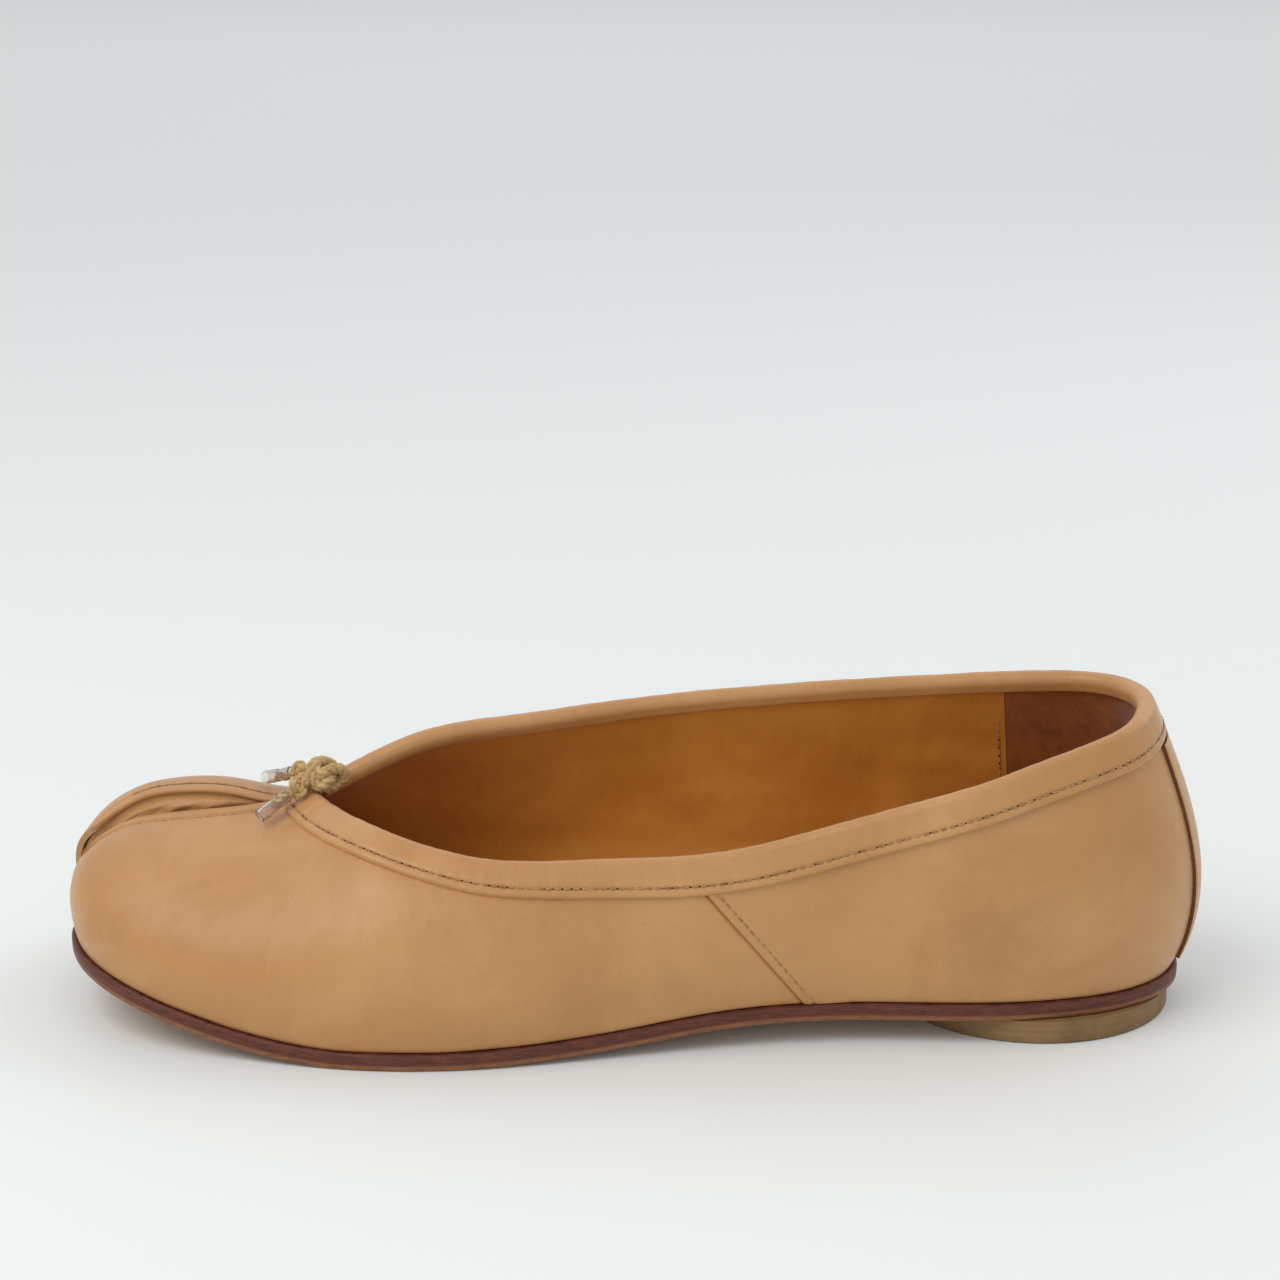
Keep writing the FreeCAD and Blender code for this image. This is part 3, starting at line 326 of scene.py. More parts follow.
# ---------------------------------------------------------------- meshes
def mesh_object(name, points, faces, uv=None, slots=None, sharp=None):
    """Mesh from points in millimetres and equal-sized faces."""
    faces = np.asarray(faces, np.int32)
    points = metres(points)
    me = bpy.data.meshes.new(name)
    me.vertices.add(len(points))
    me.vertices.foreach_set("co", points.astype(np.float32).ravel())
    me.loops.add(faces.size)
    me.loops.foreach_set("vertex_index", faces.ravel())
    me.polygons.add(len(faces))
    me.polygons.foreach_set("loop_start", np.arange(0, faces.size, faces.shape[1], dtype=np.int32))
    me.polygons.foreach_set("use_smooth", np.ones(len(faces), bool))
    if slots is not None:
        me.polygons.foreach_set("material_index", np.asarray(slots, np.int32))
    me.update(calc_edges=True)
    if uv is not None:
        layer = me.uv_layers.new(name="panel")
        layer.uv.foreach_set("vector", np.asarray(uv, np.float32)[faces.ravel()].ravel())
    if sharp:
        me.set_sharp_from_angle(angle=math.radians(sharp))
    ob = bpy.data.objects.new(name, me)
    bpy.context.scene.collection.objects.link(ob)
    return ob


def outward(points, faces):
    """Faces turned so that the closed skin's volume is positive."""
    q = np.asarray(faces)
    a = points[q[:, 0]]
    total = 0.0
    for i in range(1, q.shape[1] - 1):
        total += (a * np.cross(points[q[:, i]], points[q[:, i + 1]])).sum()
    return q if total > 0 else q[:, ::-1]


def grid_faces(n, m, around=False, start=0):
    """Quads of an n by m grid; around closes the second direction."""
    i = np.arange(n - 1)[:, None]
    j = np.arange(m if around else m - 1)[None, :]
    k = (j + 1) % m
    a = i * m + j
    b = (i + 1) * m + j
    c = (i + 1) * m + k
    d = i * m + k
    return stacked(a, b, c, d).reshape(-1, 4) + start


def halves(quads):
    return np.concatenate([quads[:, [0, 1, 2]], quads[:, [0, 2, 3]]])


def loft(name, grid, sharp=None):
    """Closed skin from rings of points; each end is closed straight across its thickness."""
    n, m = grid.shape[:2]
    points = grid.reshape(-1, 3)
    faces = grid_faces(n, m, around=True)
    j = np.arange(m // 2 - 1)
    first = stacked(j, j + 1, m - 2 - j, m - 1 - j)
    quads = np.concatenate([faces, first, first[:, ::-1] + (n - 1) * m])
    return mesh_object(name, points, outward(points, halves(quads)), sharp=sharp)


def shell(name, outer, inner, uv=None, sharp=60):
    """Closed skin between two grids; the rim between them takes the second material slot."""
    n, m = outer.shape[:2]
    points = np.concatenate([outer.reshape(-1, 3), inner.reshape(-1, 3)])
    front = grid_faces(n, m)
    back = grid_faces(n, m, start=n * m)[:, ::-1]
    i = np.arange(n)
    j = np.arange(m)
    loop = np.concatenate([j, i[1:] * m + m - 1, (n - 1) * m + j[::-1][1:], i[::-1][1:-1] * m])
    after = np.roll(loop, -1)
    rim = stacked(after, loop, loop + n * m, after + n * m)[:, ::-1]
    faces = np.concatenate([front, back, rim])
    slots = np.concatenate([np.zeros(len(front) + len(back)), np.ones(len(rim))])
    faces = outward(points, faces)
    if uv is not None:
        uv = np.concatenate([uv.reshape(-1, 2), uv.reshape(-1, 2)])
    return mesh_object(name, points, faces, uv=uv, slots=slots, sharp=sharp)


def joined(name, parts, uv=None):
    """One mesh from several (points, faces) parts."""
    points = []
    faces = []
    count = 0
    for p, f in parts:
        points.append(p)
        faces.append(np.asarray(f) + count)
        count += len(p)
    return mesh_object(name, np.concatenate(points), np.concatenate(faces), uv=uv)


# ---------------------------------------------------------------- leather of the upper
# rows close under the upper edge are dense enough for its bead and groove
NEAR_ROWS = [0, 0.15, 0.3, 0.5, 0.7, 0.95, 1.2, 1.45, 1.7, 1.9, 2.05, 2.2, 2.35, 2.5, 2.7, 2.95,
             3.3, 3.7, 4.2]
FAR_ROWS = 84
FOOT_START = 0.25


def wall_table():
    """Surface share v and distance from the upper edge, by station and row."""
    s = s_all
    foot_v = v_over_sole(s, FOOT_START)
    share = np.linspace(0, 1, 160)
    v = foot_v[:, None] + (v_top(s) - foot_v)[:, None] * share
    run = distances(wall(s[:, None], v), axis=1)
    length = run[:, -1]
    rows = []
    down = [np.full(len(s), float(d)) for d in NEAR_ROWS]
    for i in range(1, FAR_ROWS):
        down.append(mix(NEAR_ROWS[-1], length, i / (FAR_ROWS - 1.0)))
    down = np.stack(down, axis=1)
    for i in range(len(s)):
        rows.append(np.interp(length[i] - down[i], run[i], v[i]))
    return np.array(rows), down


v_table, down_table = wall_table()
ROW_SHARE = 1 - down_table.mean(0) / down_table.mean(0)[-1]


def at_rows(table, s):
    """Row table read at a grid of stations, one column of the grid for each row."""
    return np.stack([np.interp(s[:, j], s_all, table[:, j]) for j in range(s.shape[1])], axis=1)


SEAM_LAP = 7.0
SEAM_IN = 2.3
LAT_EDGE_SEAM = 2.5
MED_EDGE_SEAM = 2.2
SKIVE = 0.75
seam_foot = {-1: s_at_x(35, -1), 1: s_at_x(35, 1)}
seam_head = {-1: s_at_x(11, -1), 1: s_at_x(11, 1)}


def seam_s(side):
    """Station of the side seam at each row."""
    return mix(seam_foot[side], seam_head[side], ROW_SHARE)


def wave(points, down):
    """Uneven stretch of lasted leather, and the small folds over the joint of the toes."""
    soft = 0.26 * (noise(points, 17.0) - 0.5) + 0.12 * (noise(points, 7.0, 3.1) - 0.5)
    x = points[..., 0]
    flex = smooth(-92, -62, x) * (1 - smooth(-30, 4, x)) * smooth(7, 12, down) * (1 - smooth(22, 44, down))
    ripple = noise(points * np.array([1.0, 0.35, 0.3]), 2.1, 7.7) - 0.5
    return soft + 0.16 * flex * ripple


def bead(down):
    """Folded edge along the split: a raised roll and the sewn groove under it."""
    roll = 0.55 * (1 - smooth(1.5, 2.35, down))
    groove = -0.30 * np.exp(-(((down - LAT_EDGE_SEAM) / 0.38) ** 2))
    return roll + groove


def sewn(down, at, depth):
    return -depth * np.exp(-(((down - at) / 0.4) ** 2))


EDGE_TURNS = np.radians(np.arange(15, 180, 15))


def lobe_share(s, side):
    """1 along the split's edge, 0 along the topline."""
    if side < 0:
        return 1 - smooth(S_THROAT_LAT - 3, S_THROAT_LAT + 1, s)
    return smooth(S_THROAT_MED - 1, S_THROAT_MED + 3, s)


def panel(name, side, s_grid, outer_depth, inner_depth):
    """Upper panel with a rounded upper edge."""
    v = at_rows(v_table, s_grid)
    down = at_rows(down_table, s_grid)
    outer = wall(s_grid, v)
    n = wall_normal(s_grid, v)
    raised = wave(outer, down) * smooth(0.0, 5.0, down) - outer_depth
    lobe = lobe_share(s_grid, side)
    if side < 0:
        raised = raised + bead(down) * lobe
    else:
        raised = raised + sewn(down, MED_EDGE_SEAM, 0.22) * lobe
    inner = outer - n * inner_depth[..., None]
    outer = outer + n * raised[..., None]
    top_out = outer[:, 0]
    top_in = inner[:, 0]
    middle = (top_out + top_in) / 2
    radius = np.linalg.norm(top_out - top_in, axis=-1)[:, None] / 2
    side_way = unit(top_out - top_in)
    up = unit(outer[:, 0] - outer[:, 3])
    up = unit(up - side_way * (up * side_way).sum(-1, keepdims=True))
    ring = []
    for turn in EDGE_TURNS:
        ring.append(middle + side_way * radius * math.cos(turn) + up * radius * math.sin(turn))
    ring = np.stack(ring, axis=1)
    x, y = wall(s_grid[:, -1], v[:, -1])[..., :2].T
    inward = foot_normal(s_grid[:, -1])
    tuck = []
    for inset, z in ((0.5, -0.1), (1.6, -0.2), (3.4, -0.2)):
        px = x - inward[:, 0] * inset
        tuck.append(stacked(px, y - inward[:, 1] * inset, sole_top(px) + FOOT_START + z))
    tuck = np.stack(tuck, axis=1)
    grid = np.concatenate([tuck[:, ::-1], outer[:, ::-1], ring, inner], axis=1)
    return loft(name, grid, sharp=70)


def vamp(side):
    end = S_LAT if side < 0 else S_MED
    seam = seam_s(side)
    s = mix(end, (seam - side * SEAM_LAP)[None, :], np.linspace(0, 1, 440)[:, None])
    past = (s - seam[None, :]) * -side
    under_lap = (SKIVE + 0.1) * smooth(-1.0, 0.5, past)
    return panel("vamp_leather_" + SIDES[side], side, s, under_lap, np.full(s.shape, LEATHER))


def quarter(side):
    first = seam_s(side)
    dense = np.concatenate([np.linspace(0, 0.05, 30)[:-1], np.linspace(0.05, 1, 300)])[:, None]
    s = mix(first[None, :], 0.12 * side, dense)
    past = np.abs(s - first[None, :])
    rounded = 0.55 * (1 - np.sqrt(np.clip(1 - (1 - np.clip(past / 0.7, 0, 1)) ** 2, 0, 1)))
    swell = 0.42 * (1 - smooth(3.0, 12.0, past))
    lift = swell - rounded + sewn(past, SEAM_IN, 0.2)
    inner_depth = mix(SKIVE - GAP, LEATHER, smooth(7.6, 10.0, past))
    return panel("quarter_leather_" + SIDES[side], side, s, -lift, inner_depth)


SIDES = {-1: "lateral", 1: "medial"}
upper = {}
for side in (-1, 1):
    upper["vamp", side] = vamp(side)
    upper["quarter", side] = quarter(side)


# ---------------------------------------------------------------- split between the toes
CLEFT = [(-122.3, -3.1), (-121.9, -0.4), (-119.2, 2.2), (-115, 3.3), (-110.5, 4.0), (-107.6, 5.6),
         (-110.5, 7.2), (-115, 7.9), (-120, 9.0), (-123.6, 11.4), (-124.6, 14.6)]
cleft_arc = distances(np.array(CLEFT, float))
cleft_curve = spline(cleft_arc, CLEFT)
TUCK = LEATHER + GAP + 0.05
LAP_U = 0.10


def cleft_point(u, t):
    """Face of the split between the toes; u round the split, t from the top down."""
    if u < 0.5:
        s = mix(S_LAT, S_THROAT_LAT - 3.0, u / 0.5)
    else:
        s = mix(S_THROAT_MED + 3.0, S_MED, (u - 0.5) / 0.5)
    top = skin(np.array([s]), np.array([1.0]), np.array([TUCK]))[0]
    x, y = cleft_curve(u * cleft_arc[-1])
    low = np.array([x, y, float(sole_top(x)) + 0.3])
    dx = low[0] - top[0]
    height = top[2] - low[2]
    lean = float(smooth(4.0, 24.0, abs(dx)))
    p1 = top + np.array([0.42 * dx * lean, 0.4 * (low[1] - top[1]), -mix(0.35, 0.10, lean) * height])
    p2 = low + np.array([-0.06 * dx, 0, mix(0.35, 0.55, lean) * height])
    point = top * (1 - t) ** 3 + p1 * 3 * t * (1 - t) ** 2 + p2 * 3 * t * t * (1 - t) + low * t**3
    near = min(u, 1 - u)
    if near < LAP_U:
        out = float(smooth(0.0, LAP_U, near))
        edge_s = np.array([mix(S_LAT + 1.2 if u < 0.5 else S_MED - 1.2, s, out * (1 - t) ** 2)])
        foot_v = v_over_sole(edge_s, 1.9)
        edge = skin(edge_s, mix(mix(0.985, 1.0, out), foot_v, t), np.array([TUCK + 0.25]))[0]
        point = mix(edge, point, out)
    return point


def tensor(grid, n, m):
    """Smooth surface through a coarse grid, read at n by m places."""
    us = distances(grid, axis=0).mean(1)
    vs = distances(grid, axis=1).mean(0)
    rows = spline(us, grid)(np.linspace(0, us[-1], n))
    return np.moveaxis(spline(vs, np.moveaxis(rows, 1, 0))(np.linspace(0, vs[-1], m)), 0, 1)


def grid_normals(grid):
    return unit(np.cross(np.gradient(grid, axis=0), np.gradient(grid, axis=1)))


def gusset():
    """Soft leather that fills the split, puffed and wrinkled where it turns down."""
    us = [0.0, 0.035, 0.07, 0.11, 0.16, 0.22, 0.28, 0.34, 0.39, 0.43, 0.46, 0.485]
    us = us + [0.5] + [1 - u for u in reversed(us)]
    ts = np.linspace(0, 1, 13)
    face = np.array([[cleft_point(u, t) for t in ts] for u in us])
    face[12] = (face[11] + face[13]) * 0.5 + stacked(0.5 + 0.5 * (1 - ts), 0 * ts, 0 * ts)
    fine = tensor(face, 380, 96)
    n = grid_normals(fine)
    along = distances(fine[:, 15], axis=0)[:, None]
    depth = distances(fine, axis=1)
    folds = noise(stacked(along + 0 * depth, depth * 0.4, 0 * depth), 3.4, 2.0) - 0.5
    small = noise(fine, 1.6, 5.0) - 0.5
    rim = smooth(1.2, 6.0, depth) * smooth(0, 4, along) * smooth(0, 4, along[-1] - along)
    inner_side = smooth(0.56, 0.64, along / along[-1]) * (1 - smooth(0.93, 0.99, along / along[-1]))
    puff = 1.35 * smooth(0.2, 2.6, depth) + 1.1 * smooth(1.0, 6.0, depth)
    fine = fine + n * (puff * (1 - smooth(9.0, 20.0, depth)) * inner_side)[..., None]
    fine = fine + n * ((0.75 * folds + 0.22 * small) * rim)[..., None]
    return shell("toe_gusset_leather", fine, fine - n * 0.9)


gusset_piece = gusset()


# ---------------------------------------------------------------- topline binding
OPEN_END = 2.2
ROLL_IN = (LEATHER + GAP + LINING + 2 * GAP) / 2
ROLL_OUT = ROLL_IN + BIND
top_s = np.linspace(S_THROAT_LAT + OPEN_END, S_THROAT_MED - OPEN_END, 1200)
top_v = v_top(top_s)
top_p = wall(top_s, top_v)
top_t = unit(np.gradient(top_p, axis=0))
top_n = wall_normal(top_s, top_v)
top_up = unit(np.cross(top_n, top_t))
top_c = top_p + top_n * (GAP - ROLL_IN) + top_up * ROLL_RISE
top_run = distances(top_p)
top_total = top_run[-1]


def leg_at(s):
    """The outer leg narrows toward the throat."""
    far = np.minimum(s - S_THROAT_LAT, S_THROAT_MED - s)
    return mix(0.9 * LEG, LEG, smooth(0.0, 10.0, far))


def on_wall(down):
    """Surface addresses at distances under the topline, for every place along it."""
    return nearest(top_p - top_up * down[:, None], top_s.copy(), top_v.copy())


GROOVE = 0.24  # depth of the sewn groove beside the bead
BEAD = 0.28
BINDING_SEAM = 2.0  # stitches in from the leg's edge


def binding():
    """Folded strip over the drawcord: sewn outer leg with a bead edge, roll and inner leg."""
    leg = leg_at(top_s)
    edge = [0, 0.05, 0.15, 0.3, 0.5, 0.75, 1, 1.25, 1.5, 1.7, 1.85, 2, 2.15, 2.3, 2.5, 2.8, 3.2]
    pucker = line_noise(top_run, 1.5, 4.0)
    slow = line_noise(top_run, 9.0, 1.0)
    near_throat = 1 - smooth(0, 26, np.minimum(top_run, top_total - top_run))
    gather = pucker * (0.16 + 0.26 * near_throat)
    outer = []
    inner = []
    for d in edge + [3.5, 3.8, 4.1]:
        down = np.maximum(leg - d - 0.12 * slow - 0.10 * pucker * (d < 1.6), 0.4)
        a, v = on_wall(down)
        n = wall_normal(a, v)
        round_edge = math.sqrt(max(0.0, 1 - (1 - min(d / 0.7, 1)) ** 2))
        lift = GAP * 0.3 + (BIND + BEAD) * round_edge
        groove = GROOVE * math.exp(-(((d - BINDING_SEAM) / 0.40) ** 2))
        lift = lift - groove - 0.12 * float(smooth(2.2, 5.0, d))
        ripple = gather * float(1 - smooth(2.6, 6.0, d)) * 0.8
        outer.append(wall(a, v) + n * (lift + ripple)[:, None])
        inner.append(wall(a, v) + n * GAP * 0.2)
    swell = ROLL_OUT + 0.14 * slow + 0.5 * gather
    for angle in range(0, 181, 9):
        turn = math.radians(angle)
        way = top_n * math.cos(turn) + top_up * math.sin(turn)
        outer.append(top_c + way * swell[:, None])
        inner.append(top_c + way * ROLL_IN)
    for share in (-1.0, -0.3, 0.3, 0.7, 0.9, 1.0):
        drop = share * INNER_LEG
        a, v = on_wall(np.full(len(top_s), max(drop, 0.0)))
        n = wall_normal(a, v)
        thick = BIND * math.sqrt(max(0.0, 1 - max(0.0, share) ** 4))
        base = wall(a, v) + top_up * max(0.0, -drop)
        depth = 2 * ROLL_IN - GAP
        outer.append(base - n * (depth + thick))
        inner.append(base - n * depth)
    outer = np.stack(outer, axis=1)
    inner = np.stack(inner, axis=1)
    ring = np.concatenate([outer, inner[:, ::-1]], axis=1)
    return loft("topline_binding_leather", ring, sharp=75)


binding_piece = binding()


# ---------------------------------------------------------------- lining, heel grip, back strip
LINING_FOOT = 4.4
TIP = 4.5
SHORT = 3.2
GRIP_X = 85
grip_s = {-1: s_at_x(GRIP_X, -1), 1: s_at_x(GRIP_X, 1)}


def lining_depth(s, w):
    """Outer side of the lining, deeper where a stiffener lies under it."""
    x = station(s)[..., 0]
    toe = 1 - smooth(-98.0, -90.0, x)
    heel = smooth(54.0, 62.0, x) * (1 - smooth(0.60, 0.76, w))
    return LEATHER + GAP + (STIFF + GAP) * (toe + heel)


def inside_layer(name, s_a, s_b, n, m, crease):
    s = np.linspace(s_a, s_b, n)
    foot_v = v_over_sole(s, LINING_FOOT - 0.3)
    lateral = 1 - smooth(4.0, 26.0, s - S_LAT)
    medial = 1 - smooth(4.0, 26.0, S_MED - s)
    high = np.minimum(v_top(s), 1.0 - (SHORT + 4.0 * lateral + 6.5 * medial) / wall_speed(s, np.ones(n)))
    w = np.linspace(0, 1, m)[None, :]
    v = foot_v[:, None] + (high - foot_v)[:, None] * w
    grid_s = np.repeat(s[:, None], m, axis=1)
    depth = lining_depth(grid_s, np.repeat(w, n, axis=0))
    points = wall(grid_s, v)
    normal = wall_normal(grid_s, v)
    long_folds = noise(points * np.array([0.45, 0.4, 1.0]), 6.0, 9.0) - 0.5
    fine = noise(points * np.array([1.0, 0.5, 0.4]), 2.2, 1.7) - 0.5
    rim = smooth(0, 0.06, w) * smooth(0, 0.06, 1 - w)
    sag = (crease * 0.55 * long_folds + crease * 0.2 * fine) * rim
    outer = points - normal * depth[..., None]
    inner = points - normal * (depth + LINING + 0.1 + sag)[..., None]
    return shell(name, inner, outer)


lining_lateral = inside_layer("lining_leather_lateral", S_LAT + TIP, grip_s[-1], 560, 80, 1.0)
lining_medial = inside_layer("lining_leather_medial", grip_s[1], S_MED - TIP, 560, 80, 1.0)
grip_piece = inside_layer("heel_grip_suede", grip_s[-1] + 0.15, grip_s[1] - 0.15, 240, 90, 0.3)


STAY_HALF = 8.6
STAY_FOOT = 11.5


def back_strip():
    """Strip down the back seam with cut edges."""
    s = np.linspace(-STAY_HALF, STAY_HALF, 60)
    low = v_at_height(s, np.full(len(s), STAY_FOOT))
    high = v_top(s) - (LEG + 0.4) / wall_speed(s, v_top(s))
    w = np.linspace(0, 1, 120)[None, :]
    v = low[:, None] + (high - low)[:, None] * w
    grid_s = np.repeat(s[:, None], 120, axis=1)
    normal = wall_normal(grid_s, v)
    points = wall(grid_s, v)
    side_gap = STAY_HALF - np.abs(grid_s)
    rounded = 0.22 * (1 - np.sqrt(np.clip(1 - (1 - np.clip(side_gap / 0.4, 0, 1)) ** 2, 0, 1)))
    lift = GAP + 0.95 - rounded + 0.1 * (noise(points, 8.0, 2.0) - 0.5)
    outer = points + normal * lift[..., None]
    return shell("back_stay_leather", outer, points + normal * 0.05, sharp=50)


back_piece = back_strip()


# ---------------------------------------------------------------- bottom
def closed_curve(points, count):
    """Smooth closed curve through points, read at even distances."""
    pts = np.asarray(points, float)
    wrap = 6
    padded = np.concatenate([pts[-wrap:], pts, pts[: wrap + 1]])
    run = distances(padded)
    curve = spline(run, padded)
    return curve(np.linspace(run[wrap], run[wrap + len(pts)], count + 1)[:-1])


def sole_outline(inset, count=900):
    s = np.linspace(S_LAT, S_MED, 74)[:-1]
    feather = station(s)[:, :2]
    u = np.array([1.0, 0.93, 0.86, 0.78, 0.70, 0.62, 0.56, 0.5, 0.44, 0.38, 0.30, 0.22, 0.14, 0.07])
    pts = np.concatenate([feather, cleft_curve(u * cleft_arc[-1])])
    t = unit(np.roll(pts, -1, axis=0) - np.roll(pts, 1, axis=0))
    return closed_curve(pts + stacked(-t[:, 1], t[:, 0]) * inset, count)


def offset_loop(loop, out):
    """Closed loop moved outward in the plane."""
    t = unit(np.roll(loop, -2, axis=0) - np.roll(loop, 2, axis=0))
    return loop + stacked(t[:, 1], -t[:, 0]) * np.asarray(out, float)[..., None]


def fill(loop, step):
    """Triangles that fill a closed loop, with even points inside."""
    xs = np.arange(loop[:, 0].min(), loop[:, 0].max(), step)
    ys = np.arange(loop[:, 1].min(), loop[:, 1].max(), step)
    free = []
    a = loop[::2]
    for x in xs:
        for y in ys:
            if np.hypot(a[:, 0] - x, a[:, 1] - y).min() > step * 0.6:
                free.append((x, y))
    verts = [Vector(p) for p in loop] + [Vector(p) for p in free]
    n = len(loop)
    edges = [(i, (i + 1) % n) for i in range(n)]
    out = geometry.delaunay_2d_cdt(verts, edges, [], 1, 1e-5)
    return np.array([tuple(p) for p in out[0]]), np.array([tuple(f) for f in out[2] if len(f) == 3])


def slab(name, loop, rings, z_of, step, dish):
    """Flat piece with a rounded edge; rings hold (move outward, height) from the bottom up."""
    grid = []
    uv = []
    run = distances(np.concatenate([loop, loop[:1]]))[:-1]
    for out, z in rings:
        wobble = 0.10 * (noise(stacked(run, 0 * run, 0 * run + z), 5.0, 6.0) - 0.5)
        wobble = wobble * (out > -1.5)
        edge = offset_loop(loop, out + wobble)
        grid.append(stacked(edge[:, 0], edge[:, 1], z_of(edge[:, 0]) + z))
        uv.append(stacked(run, np.full(len(run), z)))
    grid = np.array(grid)
    sides = grid_faces(len(rings), len(loop), around=True)
    parts = [(grid.reshape(-1, 3), halves(sides))]
    maps = [np.array(uv).reshape(-1, 2)]
    for k in (0, -1):
        flat, tris = fill(grid[k][:, :2], step)
        z = z_of(flat[:, 0]) + rings[k][1] + dish(flat, k)
        parts.append((np.column_stack([flat, z]), tris if k else tris[:, ::-1]))
        maps.append(np.column_stack([flat[:, 0], np.full(len(flat), rings[k][1])]))
    return joined(name, parts, uv=np.concatenate(maps))


def flat_dish(flat, k):
    return np.zeros(len(flat))


def worn_dish(flat, k):
    """Sock lining pressed down under the ball and the heel."""
    if k == 0:
        return np.zeros(len(flat))
    heel = np.exp(-(((flat[:, 0] - 84) / 24) ** 2) - ((flat[:, 1] - 0.5) / 16) ** 2)
    ball = np.exp(-(((flat[:, 0] + 48) / 26) ** 2) - ((flat[:, 1] - 0) / 24) ** 2)
    spots = noise(np.column_stack([flat, np.zeros(len(flat))]), 14.0, 3.0) - 0.5
    return -0.35 * heel - 0.3 * ball + 0.2 * spots * (1 - heel)


edge_loop = sole_outline(-1.2)
SOLE_RINGS = [(-2.4, 0.0), (-0.75, 0.0), (-0.35, 0.06), (-0.12, 0.25), (-0.02, 0.6), (0.0, 1.2),
              (0.04, 1.9), (0.03, 2.6), (-0.06, 3.1), (-0.22, 3.4), (-0.5, 3.56), (-1.0, SOLE),
              (-2.4, SOLE)]
sole_piece = slab("outsole_leather", edge_loop, SOLE_RINGS, sole_low, 3.2, flat_dish)

SOCK_LOW = SOLE + LEATHER + 3 * GAP + BOARD
SOCK_RINGS = [(-0.3, SOCK_LOW), (0.0, SOCK_LOW + 0.2), (0.0, SOCK_LOW + 0.62), (-0.18, SOCK_LOW + SOCK),
              (-0.8, SOCK_LOW + SOCK + 0.03), (-2.0, SOCK_LOW + SOCK)]
sock_piece = slab("sock_leather", sole_outline(1.7, 700), SOCK_RINGS, sole_low, 3.0, worn_dish)


# ---------------------------------------------------------------- stitches
THREAD = 0.21
HOLE_LONG = 0.34
HOLE_WIDE = 0.23
HOLE_CAP = np.array([[8, 9, 10, 11], [8, 11, 12, 13], [8, 13, 14, 15]])


def lay_stitches(name, path, normals, pitch=PITCH):
    """Row of threads that dip into their holes, and the holes between them, along a dense path."""
    run = distances(path)
    count = int(run[-1] / pitch)
    starts = (np.arange(count) + 0.5) * pitch

    def on_path(places):
        p = np.stack([np.interp(places, run, path[:, k]) for k in range(3)], axis=-1)
        n = np.stack([np.interp(places, run, normals[:, k]) for k in range(3)], axis=-1)
        return p, unit(n)

    threads = []
    holes = []
    turn = np.linspace(0, 2 * math.pi, 9)[:-1]
    for start in starts:
        f = np.linspace(-0.36, 0.36, 9)
        p, n = on_path(start + f * pitch)
        t = unit(np.gradient(p, axis=0))
        side = unit(np.cross(n, t))
        height = 0.26 * np.sqrt(np.clip(1 - (f / 0.38) ** 2, 0, 1)) - 0.12
        radius = THREAD * (0.75 + 0.25 * np.sqrt(np.clip(1 - (f / 0.40) ** 2, 0, 1)))
        centre = p + n * height[:, None]
        ring = centre[:, None] + side[:, None] * (radius[:, None] * np.cos(turn))[..., None]
        ring = ring + n[:, None] * (radius[:, None] * np.sin(turn))[..., None]
        threads.append((ring.reshape(-1, 3), grid_faces(9, 8, around=True)))
        q, m = on_path(np.array([start - 0.5 * pitch, start - 0.49 * pitch]))
        along = unit(q[1:] - q[:1])[0]
        over = unit(np.cross(m[0], along))
        ways = np.stack([along * np.cos(turn)[:, None], over * np.sin(turn)[:, None]])
        low = q[0] - m[0] * 0.35 + ways[0] * 0.15 + ways[1] * 0.12
        disc = q[0] + m[0] * 0.03 + ways[0] * HOLE_LONG + ways[1] * HOLE_WIDE
        ring = np.concatenate([low, disc])
        holes.append((ring, np.concatenate([grid_faces(2, 8, around=True), HOLE_CAP])))
    return joined(name, threads), joined(name + "_holes", holes)


def surface_path(s, v, depth):
    return skin(s, v, depth), wall_normal(s, v)


stitch_pieces = []
hole_pieces = []


def sew(name, path, normals):
    thread, hole = lay_stitches(name + "_thread", path, normals)
    stitch_pieces.append(thread)
    hole_pieces.append(hole)


a, v = on_wall(leg_at(top_s) - BINDING_SEAM)
n = wall_normal(a, v)
sew("stitch_topline", wall(a, v) + n * (GAP * 0.3 + BIND + BEAD - GROOVE), n)

for side in (-1, 1):
    s = (seam_s(side) - SEAM_IN * side)[None, :]
    v = at_rows(v_table, s)[0]
    down = at_rows(down_table, s)[0]
    seen = (down > LEG + 0.4) & (down < down[-1] - 2.0)
    path, n = surface_path(s[0, seen], v[seen], np.full(seen.sum(), -0.22))
    sew("stitch_side_%s" % SIDES[side], path, n)

for side, first, last, down, lift in (
    (-1, S_LAT + 1, S_THROAT_LAT - 5, LAT_EDGE_SEAM, -0.35),
    (1, S_THROAT_MED + 5, S_MED - 12, MED_EDGE_SEAM, -0.18),
):
    s = np.linspace(first, last, 260)
    v = 1.0 - down / wall_speed(s, np.ones(len(s)))
    path, n = surface_path(s, v, np.full(len(s), -lift))
    sew("stitch_toe_%s" % SIDES[side], path, n)

for side in (-1, 1):
    s = np.full(160, grip_s[side] + 1.6 * side)
    w = np.linspace(0.08, 0.86, 160)
    foot_v = v_over_sole(s, LINING_FOOT)
    v = mix(foot_v, v_top(s), w)
    depth = lining_depth(s, w) + LINING + 0.12
    sew("stitch_grip_%s" % SIDES[side], skin(s, v, depth), -wall_normal(s, v))


# ---------------------------------------------------------------- cord, knots and tips
def smooth_path(points, step):
    pts = np.asarray(points, float)
    run = distances(pts)
    return spline(run, pts)(np.linspace(0, run[-1], max(8, int(run[-1] / step))))


